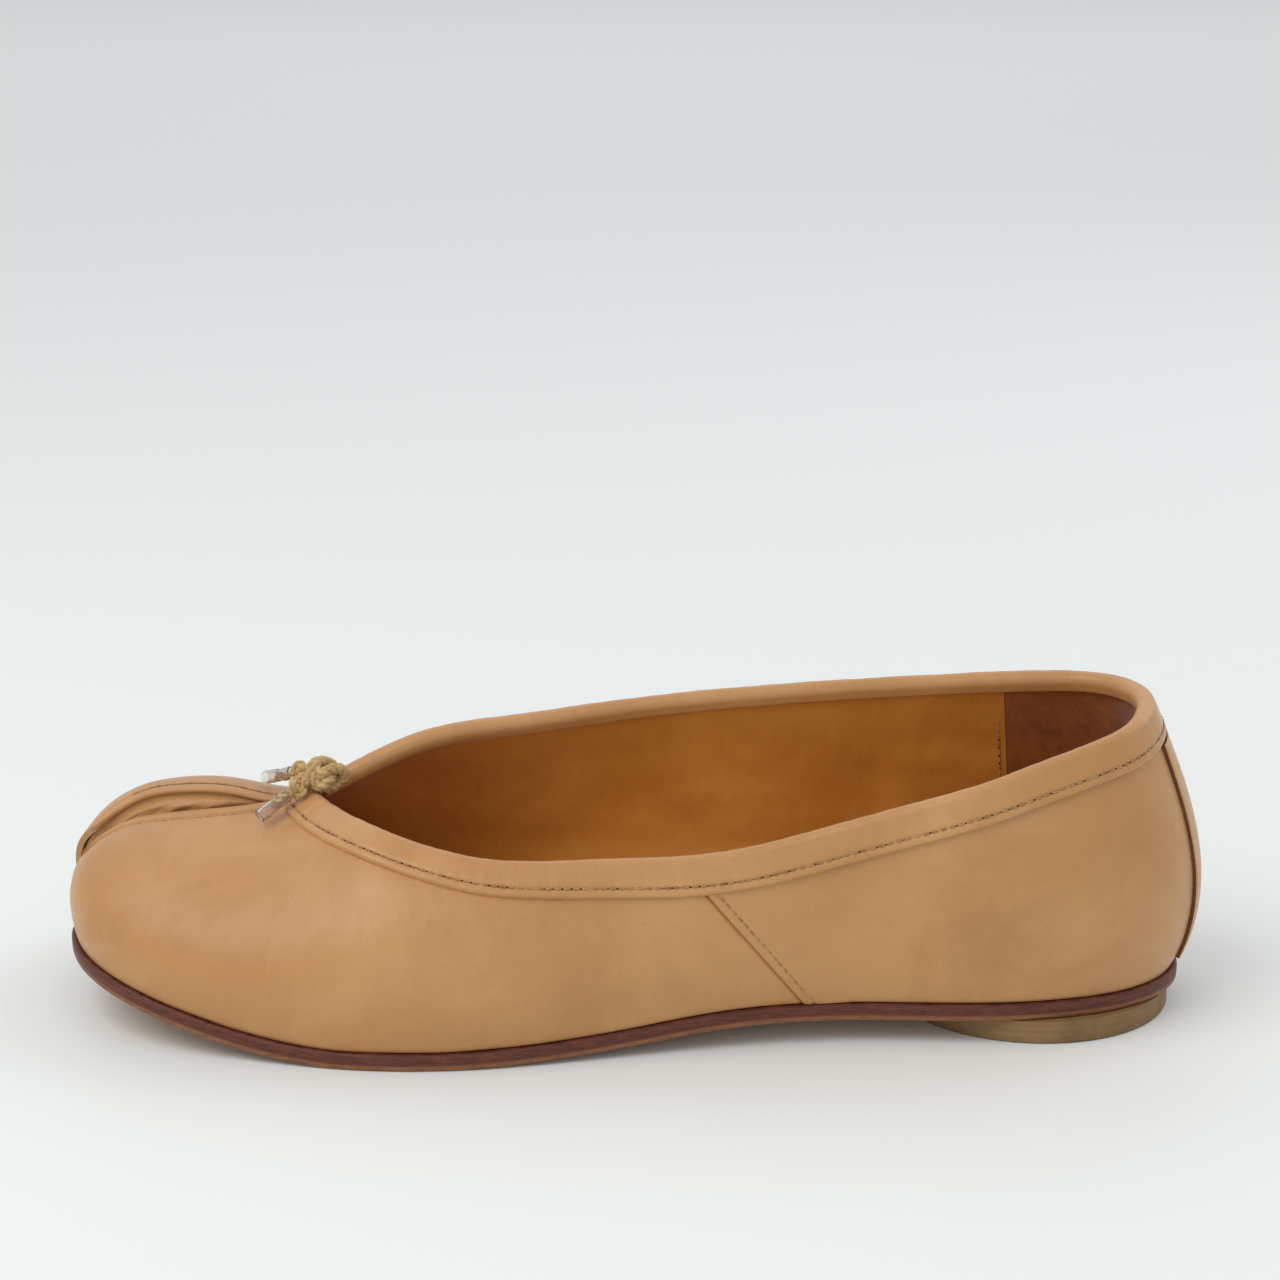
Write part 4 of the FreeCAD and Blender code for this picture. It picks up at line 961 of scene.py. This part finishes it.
def carried_frames(path):
    """Cross directions carried along a path without twisting."""
    t = unit(np.gradient(path, axis=0))
    start = np.cross(t[0], [0, 0, 1.0])
    if np.linalg.norm(start) < 0.2:
        start = np.cross(t[0], [0, 1.0, 0])
    a = [unit(start)]
    for k in range(1, len(path)):
        step = a[-1] - t[k] * (a[-1] @ t[k])
        a.append(unit(step))
    a = np.array(a)
    return a, np.cross(t, a)


def rope(points, radius, strands=3, lay=5.2, step=0.14):
    """Laid cord: strands that turn round a smooth path, as one part per strand."""
    path = smooth_path(points, step)
    a, b = carried_frames(path)
    run = distances(path)
    around = np.linspace(0, 2 * math.pi, 11)[:-1]
    thin = radius * 0.56
    parts = []
    for k in range(strands):
        angle = 2 * math.pi * (k / strands + run / lay)
        out = a * np.cos(angle)[:, None] + b * np.sin(angle)[:, None]
        centre = path + out * radius * 0.5
        sa, sb = carried_frames(centre)
        place = run[:, None]
        fuzz = 1 + 0.10 * np.sin(place * 9.0 + around * 3) + 0.06 * np.sin(place * 23.0 + around)
        ring = centre[:, None] + thin * fuzz[..., None] * (
            sa[:, None] * np.cos(around)[None, :, None] + sb[:, None] * np.sin(around)[None, :, None]
        )
        n, m = ring.shape[:2]
        pts = np.concatenate([ring.reshape(-1, 3), [centre[0]], [centre[-1]]])
        j = np.arange(0, m, 2)
        first = stacked((j + 2) % m, j + 1, j, np.full(len(j), n * m))
        last = stacked(j, j + 1, (j + 2) % m, np.full(len(j), n * m)) + (n - 1) * m
        last[:, 3] = n * m + 1
        parts.append((pts, np.concatenate([grid_faces(n, m, around=True), first, last])))
    return parts


def knot_turns(centre, size, axis, spin, first, last, count=26):
    """Points of an overhand knot about a centre."""
    axis = unit(np.array(axis, float))
    u = unit(np.cross(axis, [0.3, 0.2, 1.0]))
    w = np.cross(axis, u)
    u, w = u * math.cos(spin) + w * math.sin(spin), w * math.cos(spin) - u * math.sin(spin)
    phi = np.linspace(first, last, count)[:, None]
    flat = u * (np.sin(phi) + 2 * np.sin(2 * phi)) + w * (np.cos(phi) - 2 * np.cos(2 * phi))
    return centre + size * (flat / 3 - axis * np.sin(3 * phi) * 0.42)


mid = (top_c[0] + top_c[-1]) * 0.5
exit_lat = top_c[0] - top_t[0] * 0.3
exit_med = top_c[-1] + top_t[-1] * 0.3
knot_at = mid + np.array([2.0, -0.9, 5.0])
BALLS = {-1: mid + np.array([-3.2, -5.2, 3.5]), 1: mid + np.array([-3.4, 2.6, 4.6])}
TIPS = {-1: BALLS[-1] + np.array([-6.6, -4.6, -4.0]), 1: BALLS[1] + np.array([-6.4, 4.2, -2.4])}
PIVOT = 4.1
KNOT_SIZE = 3.6
KNOT_STRETCH = np.array([1.22, 1.0, 0.8])  # the knot lies flat and long on the throat


def throat_knot():
    turns = knot_turns(knot_at, KNOT_SIZE, (0.35, -0.8, 0.45), 0.6, 0.5, 5.6)
    turns = knot_at + (turns - knot_at) * KNOT_STRETCH
    lat_pivot = knot_at + unit(BALLS[-1] - knot_at) * (PIVOT + 0.4)
    med_pivot = knot_at + unit(BALLS[1] - knot_at) * (PIVOT + 0.4)
    lead = [exit_lat + [0.4, 0, -1.0], exit_lat, (exit_lat + turns[0]) / 2]
    first = np.concatenate([lead, turns, [lat_pivot]])
    loop = []
    for turn in np.linspace(-0.4, 2 * math.pi - 0.9, 12):
        around = np.array([0.55 * math.cos(turn), 0.75 * math.cos(turn), 0.0])
        offset = around * KNOT_SIZE + np.array([-0.35, 0.2, 1.0]) * 3.3 * math.sin(turn)
        loop.append(knot_at + offset * KNOT_STRETCH)
    lead = [exit_med + [0.4, 0, -1.0], exit_med, (exit_med + loop[0]) / 2]
    second = np.concatenate([lead, loop, [med_pivot]])
    return joined("throat_knot_cord", rope(first, 1.2) + rope(second, 1.2))


def tail_cord(side):
    """Stopper knot and the end of the cord inside its clear tip."""
    ball = BALLS[side]
    along = unit(TIPS[side] - ball)
    start = knot_at + unit(ball - knot_at) * (PIVOT - 0.5)
    turns = knot_turns(ball, 1.75, unit(np.cross(along, [0.1, 0.3, 1.0])), 1.1 * side, 0.6, 5.5, 22)
    end = [ball + along * 2.4, ball + along * 7.2]
    points = np.concatenate([[start, (start + turns[0]) / 2], turns, end])
    return joined("tail_cord_" + SIDES[side], rope(points, 0.92))


def tip_tube(side):
    """Clear tube crimped on the cord's end."""
    along = unit(TIPS[side] - BALLS[side])
    start = BALLS[side] + along * 3.0
    a = unit(np.cross(along, [0, 0, 1.0]))
    b = np.cross(along, a)
    profile = [(1.10, 0.12), (1.32, 0.02), (1.46, 0.10), (1.50, 0.3), (1.50, 1.2), (1.47, 2.2), (1.42, 3.0),
               (1.47, 3.8), (1.50, 5.0), (1.50, 7.6), (1.47, 7.88), (1.34, 7.98), (1.20, 7.9), (1.14, 7.6),
               (1.13, 5.0), (1.05, 3.0), (1.10, 1.2)]
    turn = np.linspace(0, 2 * math.pi, 49)[:-1]
    grid = []
    for radius, z in profile:
        flat = 1 - 0.07 * math.exp(-(((z - 3.0) / 1.2) ** 2))
        ring = a * (radius * np.cos(turn))[:, None] + b * (radius * flat * np.sin(turn))[:, None]
        grid.append(start + along * z + ring)
    grid = np.array(grid + grid[:1])
    points = grid.reshape(-1, 3)
    faces = outward(points, grid_faces(len(grid), 48, around=True))
    return mesh_object("tip_tube_" + SIDES[side], points, faces)


knot_piece = throat_knot()
tails = {side: tail_cord(side) for side in (-1, 1)}
tubes = {side: tip_tube(side) for side in (-1, 1)}


# ---------------------------------------------------------------- materials
def colour(red, green, blue):
    """Linear colour from display values 0 to 255."""
    out = []
    for c in (red, green, blue):
        c = c / 255.0
        out.append(c / 12.92 if c <= 0.04045 else ((c + 0.055) / 1.055) ** 2.4)
    return (*out, 1.0)


class Paint:
    """Node material written top down: patterns in, shader out."""

    def __init__(self, name):
        self.material = bpy.data.materials.new(name)
        self.material.use_nodes = True
        self.tree = self.material.node_tree
        self.shader = self.tree.nodes["Principled BSDF"]
        self.place = self.add("ShaderNodeTexCoord").outputs["Object"]

    def add(self, kind, inputs=None, **values):
        node = self.tree.nodes.new(kind)
        for key, value in values.items():
            setattr(node, key, value)
        for key, value in (inputs or {}).items():
            self.put(node.inputs[key], value)
        return node

    def put(self, socket, value):
        """Link a pattern, or set a value; a tuple is a colour in display values."""
        if isinstance(value, bpy.types.NodeSocket):
            self.tree.links.new(value, socket)
        elif isinstance(value, tuple):
            socket.default_value = colour(*value)
        else:
            socket.default_value = value

    def stretched(self, x, y, z):
        node = self.add("ShaderNodeMapping", {"Vector": self.place, "Scale": [x, y, z]})
        return node.outputs["Vector"]

    def noise(self, grain, detail=3.0, rough=0.55, twist=0.0, place=None):
        """Cloudy pattern with bumps of about one grain, in millimetres."""
        inputs = {"Vector": place or self.place, "Scale": 1000.0 / grain, "Detail": detail,
                  "Roughness": rough, "Distortion": twist}
        return self.add("ShaderNodeTexNoise", inputs).outputs["Fac"]

    def cells(self, grain):
        inputs = {"Vector": self.place, "Scale": 1000.0 / grain}
        return self.add("ShaderNodeTexVoronoi", inputs, feature="DISTANCE_TO_EDGE").outputs["Distance"]

    def maths(self, kind, a, b=0.0, c=0.0):
        return self.add("ShaderNodeMath", {0: a, 1: b, 2: c}, operation=kind).outputs[0]

    def between(self, value, low, high, out_low=0.0, out_high=1.0):
        inputs = {"Value": value, "From Min": low, "From Max": high, "To Min": out_low, "To Max": out_high}
        return self.add("ShaderNodeMapRange", inputs, interpolation_type="SMOOTHSTEP").outputs["Result"]

    def blend(self, share, a, b):
        return self.add("ShaderNodeMix", {0: share, 6: a, 7: b}, data_type="RGBA").outputs[2]

    def stain(self, tone, pattern, low, high, share, other):
        """Tone with some of another where a pattern is between two levels."""
        return self.blend(self.maths("MULTIPLY", self.between(pattern, low, high), share), tone, other)

    def near(self, x, y, z, radius):
        """1 at a point of the object, fading out over a radius in millimetres."""
        inputs = {0: self.place, 1: Vector(metres([x, y, z]))}
        node = self.add("ShaderNodeVectorMath", inputs, operation="DISTANCE")
        return self.between(node.outputs["Value"], 0.0, radius / 1000.0, 1.0, 0.0)

    def axis(self, index, source=None):
        return self.add("ShaderNodeSeparateXYZ", {0: source or self.place}).outputs[index]

    def panel_map(self):
        return self.add("ShaderNodeUVMap", uv_map="panel").outputs["UV"]

    def bump(self, height, distance, after=None):
        """Relief of a pattern; distance is its full depth in millimetres."""
        inputs = {"Height": height, "Distance": distance / 1000.0, "Strength": 1.0}
        node = self.add("ShaderNodeBump", inputs)
        if after is not None:
            self.put(node.inputs["Normal"], after)
        return node.outputs["Normal"]

    def finish(self, base, roughness, normal=None, **constant):
        self.put(self.shader.inputs["Base Color"], base)
        self.put(self.shader.inputs["Roughness"], roughness)
        if normal is not None:
            self.put(self.shader.inputs["Normal"], normal)
        for key, value in constant.items():
            self.shader.inputs[key.replace("_", " ")].default_value = value
        return self.material


def leather(name, light, dark, deep, grain=0.42, relief=0.035, gloss=0.44, shade_spots=()):
    """Smooth vegetable-tanned leather: mottled tone, pores, hair-fine flex lines."""
    p = Paint(name)
    clouds = p.noise(34.0, 4.0, 0.6, 0.6)
    patches = p.noise(7.0, 4.0, 0.65, 0.3)
    tone = p.blend(p.between(clouds, 0.34, 0.68), dark, light)
    tone = p.stain(tone, patches, 0.46, 0.74, 0.22, dark)
    pores = p.cells(grain)
    fleck = p.noise(0.55, 2.0, 0.7)
    tone = p.stain(tone, pores, 0.12, 0.0, 0.16, deep)
    tone = p.stain(tone, fleck, 0.60, 0.78, 0.14, deep)
    # painted shade: the leather turns toward its deep tone at given spots, broken up by the patches
    for x, y, z, radius, share in shade_spots:
        spot_shade = p.maths("MULTIPLY", p.near(x, y, z, radius), p.between(patches, 0.30, 0.66))
        tone = p.blend(p.maths("MULTIPLY", spot_shade, share), tone, deep)
    lines = p.noise(1.0, 3.0, 0.6, 0.4, p.stretched(1.9, 0.55, 0.42))
    normal = p.bump(pores, relief)
    normal = p.bump(fleck, relief * 0.9, after=normal)
    normal = p.bump(lines, relief * 1.7, after=normal)
    normal = p.bump(patches, 0.10, after=normal)
    rough = p.between(p.noise(5.0, 3.0, 0.6), 0.25, 0.8, gloss - 0.05, gloss + 0.11)
    return p.finish(tone, rough, normal, Specular_IOR_Level=0.42, Sheen_Weight=0.08, Sheen_Roughness=0.5,
                    Coat_Weight=0.22, Coat_Roughness=0.26, Subsurface_Weight=0.0)


def suede(name, light, dark):
    """Brushed nap: short streaks, dull, with painted light: paler toward the top, where more light reaches
    into the heel cup.
    """
    p = Paint(name)
    nap = p.noise(0.8, 4.0, 0.75, 0.5, p.stretched(1.0, 1.0, 0.5))
    swept = p.noise(6.5, 3.0, 0.6, 1.4)
    tone = p.blend(p.between(swept, 0.1, 0.9), dark, light)
    tone = p.stain(tone, nap, 0.40, 0.70, 0.5, dark)
    # painted light: the suede turns paler between 55 and 72 mm over the floor
    painted_light_top = p.between(p.axis(2), 0.055, 0.072, 0.0, 0.5)
    tone = p.blend(painted_light_top, tone, light)
    normal = p.bump(nap, 0.16)
    normal = p.bump(swept, 0.15, after=normal)
    return p.finish(tone, p.between(nap, 0.2, 0.8, 0.86, 0.97), normal, Specular_IOR_Level=0.15,
                    Sheen_Weight=0.55, Sheen_Roughness=0.45)


def cut_edge(name, light, dark):
    """Raw fibres of a cut leather edge."""
    p = Paint(name)
    fibres = p.noise(0.5, 4.0, 0.7, 0.6)
    patches = p.noise(4.0, 3.0, 0.6)
    tone = p.blend(p.between(fibres, 0.35, 0.68), dark, light)
    tone = p.stain(tone, patches, 0.45, 0.75, 0.4, dark)
    return p.finish(tone, p.between(fibres, 0.2, 0.8, 0.62, 0.85), p.bump(fibres, 0.09))


def sole_leather():
    """Outsole: inked edge, paler burnished lip below it, brushed and scuffed underside."""
    p = Paint("sole_leather")
    height = p.axis(1, p.panel_map())
    streak = p.noise(1.3, 4.0, 0.7, 0.3, p.stretched(0.35, 0.35, 2.2))
    fibre = p.noise(0.45, 3.0, 0.7)
    broad = p.noise(22.0, 3.0, 0.6, 0.8)
    ink = p.blend(p.between(streak, 0.32, 0.7), (74, 30, 20), (112, 55, 36))
    lip = p.blend(p.between(streak, 0.3, 0.7), (116, 70, 42), (152, 100, 62))
    ragged = p.maths("ADD", height, p.maths("MULTIPLY", p.maths("SUBTRACT", streak, 0.5), 1.1))
    edge = p.blend(p.between(ragged, 0.95, 1.5), lip, ink)
    face = p.blend(p.between(broad, 0.3, 0.7), (150, 104, 66), (176, 130, 88))
    scuff = p.noise(2.2, 4.0, 0.75, 1.0, p.stretched(0.5, 1.6, 1.0))
    face = p.stain(face, scuff, 0.55, 0.72, 0.55, (92, 66, 46))
    tone = p.blend(p.between(height, 0.03, 0.16), face, edge)
    normal = p.bump(streak, 0.14)
    normal = p.bump(fibre, 0.06, after=normal)
    return p.finish(tone, p.between(streak, 0.2, 0.8, 0.42, 0.66), normal, Specular_IOR_Level=0.4,
                    Coat_Weight=0.08, Coat_Roughness=0.35)


def stacked_lift():
    """Heel disc of pressed layers with a scuffed, waxed side."""
    p = Paint("stacked_lift")
    z = p.axis(2)
    waver = p.maths("MULTIPLY", p.noise(9.0, 2.0), 0.0007)
    layers = p.maths("SINE", p.maths("MULTIPLY", p.maths("ADD", z, waver), 4200.0))
    fibre = p.noise(0.6, 4.0, 0.7, 0.4, p.stretched(0.5, 0.5, 2.4))
    broad = p.noise(11.0, 3.0, 0.6)
    tone = p.blend(p.between(broad, 0.3, 0.7), (124, 96, 60), (146, 116, 76))
    tone = p.stain(tone, layers, 0.55, 0.98, 0.28, (124, 92, 58))
    tone = p.stain(tone, fibre, 0.5, 0.75, 0.35, (120, 90, 60))
    # darker toward the floor over the lowest 1.2 mm of the lift
    darker_at_floor = p.between(z, 0.0, 0.0012, 0.45, 0.0)
    tone = p.blend(darker_at_floor, tone, (96, 74, 54))
    normal = p.bump(layers, 0.05)
    normal = p.bump(fibre, 0.10, after=normal)
    return p.finish(tone, p.between(fibre, 0.2, 0.8, 0.5, 0.75), normal, Specular_IOR_Level=0.35)


def cord_fibre(name, light, dark, sheen):
    """Waxed cotton: fine spun fibres along the strands."""
    p = Paint(name)
    fibre = p.noise(0.28, 3.0, 0.7, 0.6)
    patches = p.noise(2.2, 3.0, 0.6)
    tone = p.blend(p.between(patches, 0.3, 0.7), dark, light)
    tone = p.stain(tone, fibre, 0.5, 0.75, 0.35, dark)
    return p.finish(tone, p.between(fibre, 0.2, 0.8, 0.55, 0.75), p.bump(fibre, 0.07),
                    Sheen_Weight=sheen, Sheen_Roughness=0.5, Specular_IOR_Level=0.3)


def clear_tip():
    """Clear moulded tube, slightly clouded and scratched."""
    p = Paint("clear_tip")
    cloud = p.noise(1.8, 3.0, 0.6)
    tone = p.blend(p.between(cloud, 0.3, 0.7), (250, 246, 242), (238, 228, 220))
    scratch = p.noise(0.7, 3.0, 0.7, 0.5)
    return p.finish(tone, p.between(scratch, 0.3, 0.8, 0.05, 0.16), p.bump(scratch, 0.012), IOR=1.46,
                    Transmission_Weight=0.92, Specular_IOR_Level=0.5)


def plain_board(name, light, dark, grain, relief, rough=0.85, metal=0.0):
    """Pressed, foamed or rolled sheet: clouded tone with a fine grain."""
    p = Paint(name)
    fine = p.noise(grain, 4.0, 0.7, 0.4)
    broad = p.noise(grain * 12.0, 3.0, 0.6)
    tone = p.blend(p.between(broad, 0.3, 0.7), dark, light)
    tone = p.stain(tone, fine, 0.45, 0.75, 0.45, dark)
    dull = p.between(fine, 0.2, 0.8, rough - 0.12, rough)
    return p.finish(tone, dull, p.bump(fine, relief), Metallic=metal)


# place, radius and strength of painted shade spots on the outer side of the toe, vamp and quarter
SHADE_SPOTS = ((78, -31, 22, 20, 0.16), (-112, -26, 21, 10, 0.20), (-99, -30, 30, 14, 0.12),
           (-66, -24, 43, 8, 0.18))
upper_leather = leather("upper_leather", (201, 149, 93), (188, 135, 79), (122, 76, 37),
                        shade_spots=SHADE_SPOTS)
binding_leather = leather("binding_leather", (202, 150, 94), (189, 136, 80), (120, 74, 35),
                          relief=0.030, gloss=0.38)
split_leather = leather("split_leather", (200, 148, 93), (186, 132, 78), (122, 76, 38),
                        grain=0.7, relief=0.075, gloss=0.47)
lining_leather = leather("lining_leather", (210, 142, 56), (194, 125, 42), (136, 78, 22),
                         grain=0.5, relief=0.030, gloss=0.46)
sock_leather = leather("sock_leather", (208, 142, 68), (192, 126, 54), (126, 78, 30),
                       grain=0.5, relief=0.035, gloss=0.50)
grip_suede = suede("grip_suede", (158, 90, 30), (122, 62, 14))
brown_edge = cut_edge("brown_edge", (126, 78, 46), (84, 46, 26))
outsole_leather = sole_leather()
lift_stack = stacked_lift()
cord_cotton = cord_fibre("cord_cotton", (214, 182, 126), (180, 142, 90), 0.25)
thread_tan = cord_fibre("thread_tan", (188, 144, 96), (150, 106, 62), 0.15)
hole_shadow = cut_edge("hole_shadow", (86, 53, 28), (56, 33, 16))
tip_clear = clear_tip()
stiff_fibre = plain_board("stiff_fibre", (196, 176, 140), (168, 146, 108), 0.5, 0.06)
insole_fibre = plain_board("insole_fibre", (186, 160, 120), (156, 128, 90), 0.6, 0.07)
cork_fill = plain_board("cork_fill", (170, 122, 76), (110, 72, 42), 1.4, 0.18)
spring_steel = plain_board("spring_steel", (168, 168, 166), (134, 134, 134), 0.4, 0.02, 0.42, 1.0)
nail_brass = plain_board("nail_brass", (198, 164, 96), (150, 116, 58), 0.3, 0.03, 0.45, 1.0)


# ---------------------------------------------------------------- pieces on their bodies
def dress(piece, body, slot, *materials):
    for m in materials:
        piece.data.materials.append(m)
    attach(piece, body)


for (kind, side), piece in upper.items():
    dress(piece, "shoe", "upper_leather", upper_leather)
    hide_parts("%s_%s" % (kind, SIDES[side]))

for piece, slot, node, materials in (
    (gusset_piece, "upper_leather", "toe_gusset", (split_leather, split_leather)),
    (binding_piece, "binding_leather", "topline_binding", (binding_leather,)),
    (back_piece, "binding_leather", "back_stay", (upper_leather, brown_edge)),
    (lining_lateral, "lining_leather", "lining_lateral", (lining_leather, lining_leather)),
    (lining_medial, "lining_leather", "lining_medial", (lining_leather, lining_leather)),
    (grip_piece, "suede", "heel_grip", (grip_suede, brown_edge)),
    (sole_piece, "sole_leather", "outsole", (outsole_leather,)),
    (sock_piece, "lining_leather", "sock_lining", (sock_leather,)),
    (knot_piece, "cord", "throat_knot", (cord_cotton,)),
):
    dress(piece, "shoe", slot, *materials)
    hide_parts(node)

for piece in stitch_pieces:
    dress(piece, "shoe", "thread", thread_tan)
for piece in hole_pieces:
    dress(piece, "shoe", "thread", hole_shadow)
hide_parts("stitch_topline")
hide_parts("stitch_side_lateral")
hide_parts("stitch_side_medial")
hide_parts("stitch_toe_lateral")
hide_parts("stitch_toe_medial")
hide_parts("stitch_grip")

for side in (-1, 1):
    body = "tail_" + SIDES[side]
    dress(tails[side], body, "cord", cord_cotton)
    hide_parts("tail_knot_" + SIDES[side])
    dress(tubes[side], body, "clear_plastic", tip_clear)
    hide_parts("aglet_" + SIDES[side])

KEPT = {"heel_lift": lift_stack, "heel_nails": nail_brass, "draw_cord": cord_cotton,
        "heel_counter": stiff_fibre, "toe_puff_lateral": stiff_fibre, "toe_puff_medial": stiff_fibre,
        "insole_board": insole_fibre, "bottom_filler": cork_fill, "shank": spring_steel}
for name, material in KEPT.items():
    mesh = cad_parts[name].data
    mesh.materials.clear()
    mesh.materials.append(material)


# ---------------------------------------------------------------- table, light and camera
def table_top():
    bpy.ops.mesh.primitive_plane_add(size=1)
    floor = bpy.context.object
    floor.name = "table_top"
    floor.scale = (24, 24, 1)
    floor.location = (0, 8, 0)
    p = Paint("table_white")
    cloud = p.noise(420.0, 2.0)
    tone = p.blend(p.between(cloud, 0.3, 0.7), (237, 241, 239), (241, 244, 242))
    floor.data.materials.append(p.finish(tone, p.between(cloud, 0.3, 0.7, 0.50, 0.58),
                                         Specular_IOR_Level=0.3))


def soft_box(name, place, target, width, height, power, tint):
    lamp = bpy.data.lights.new(name, "AREA")
    lamp.shape = "RECTANGLE"
    lamp.size = width
    lamp.size_y = height
    lamp.energy = power
    lamp.color = tint
    ob = bpy.data.objects.new(name, lamp)
    ob.location = place
    ob.rotation_euler = (Vector(target) - Vector(place)).to_track_quat("-Z", "Y").to_euler()
    bpy.context.scene.collection.objects.link(ob)


def camera():
    """Camera of the photograph: long lens, level, a little above the shoe."""
    lens = bpy.data.cameras.new("view")
    lens.sensor_width = 36.0
    lens.lens = 83.1
    lens.clip_start = 0.02
    lens.clip_end = 60.0
    ob = bpy.data.objects.new("view", lens)
    ob.location = metres([2.64, -611.59, 247.68])
    ob.rotation_euler = (math.radians(90 - 15.3), 0, math.radians(0.2))
    bpy.context.scene.collection.objects.link(ob)
    bpy.context.scene.camera = ob


table_top()
soft_box("key", (-0.65, -0.45, 1.05), (0, 0, 0.03), 1.1, 0.8, 7.0, (1.0, 0.985, 0.96))
soft_box("window", (0.95, 0.55, 0.75), (0, 0, 0.03), 0.9, 0.9, 2.6, (0.95, 0.98, 1.0))
soft_box("front", (0.15, -1.3, 0.45), (0, 0, 0.03), 1.2, 0.5, 1.1, (1.0, 0.99, 0.97))
soft_box("backdrop", (0, 2.8, 2.2), (0, 2.8, 0), 4.0, 3.0, 18.0, (1.0, 1.0, 1.0))
world = bpy.data.worlds.new("studio")
world.use_nodes = True
world.node_tree.nodes["Background"].inputs["Color"].default_value = (0.95, 0.97, 1.0, 1.0)
world.node_tree.nodes["Background"].inputs["Strength"].default_value = 0.60
bpy.context.scene.world = world
bpy.context.scene.view_settings.view_transform = "Standard"
camera()
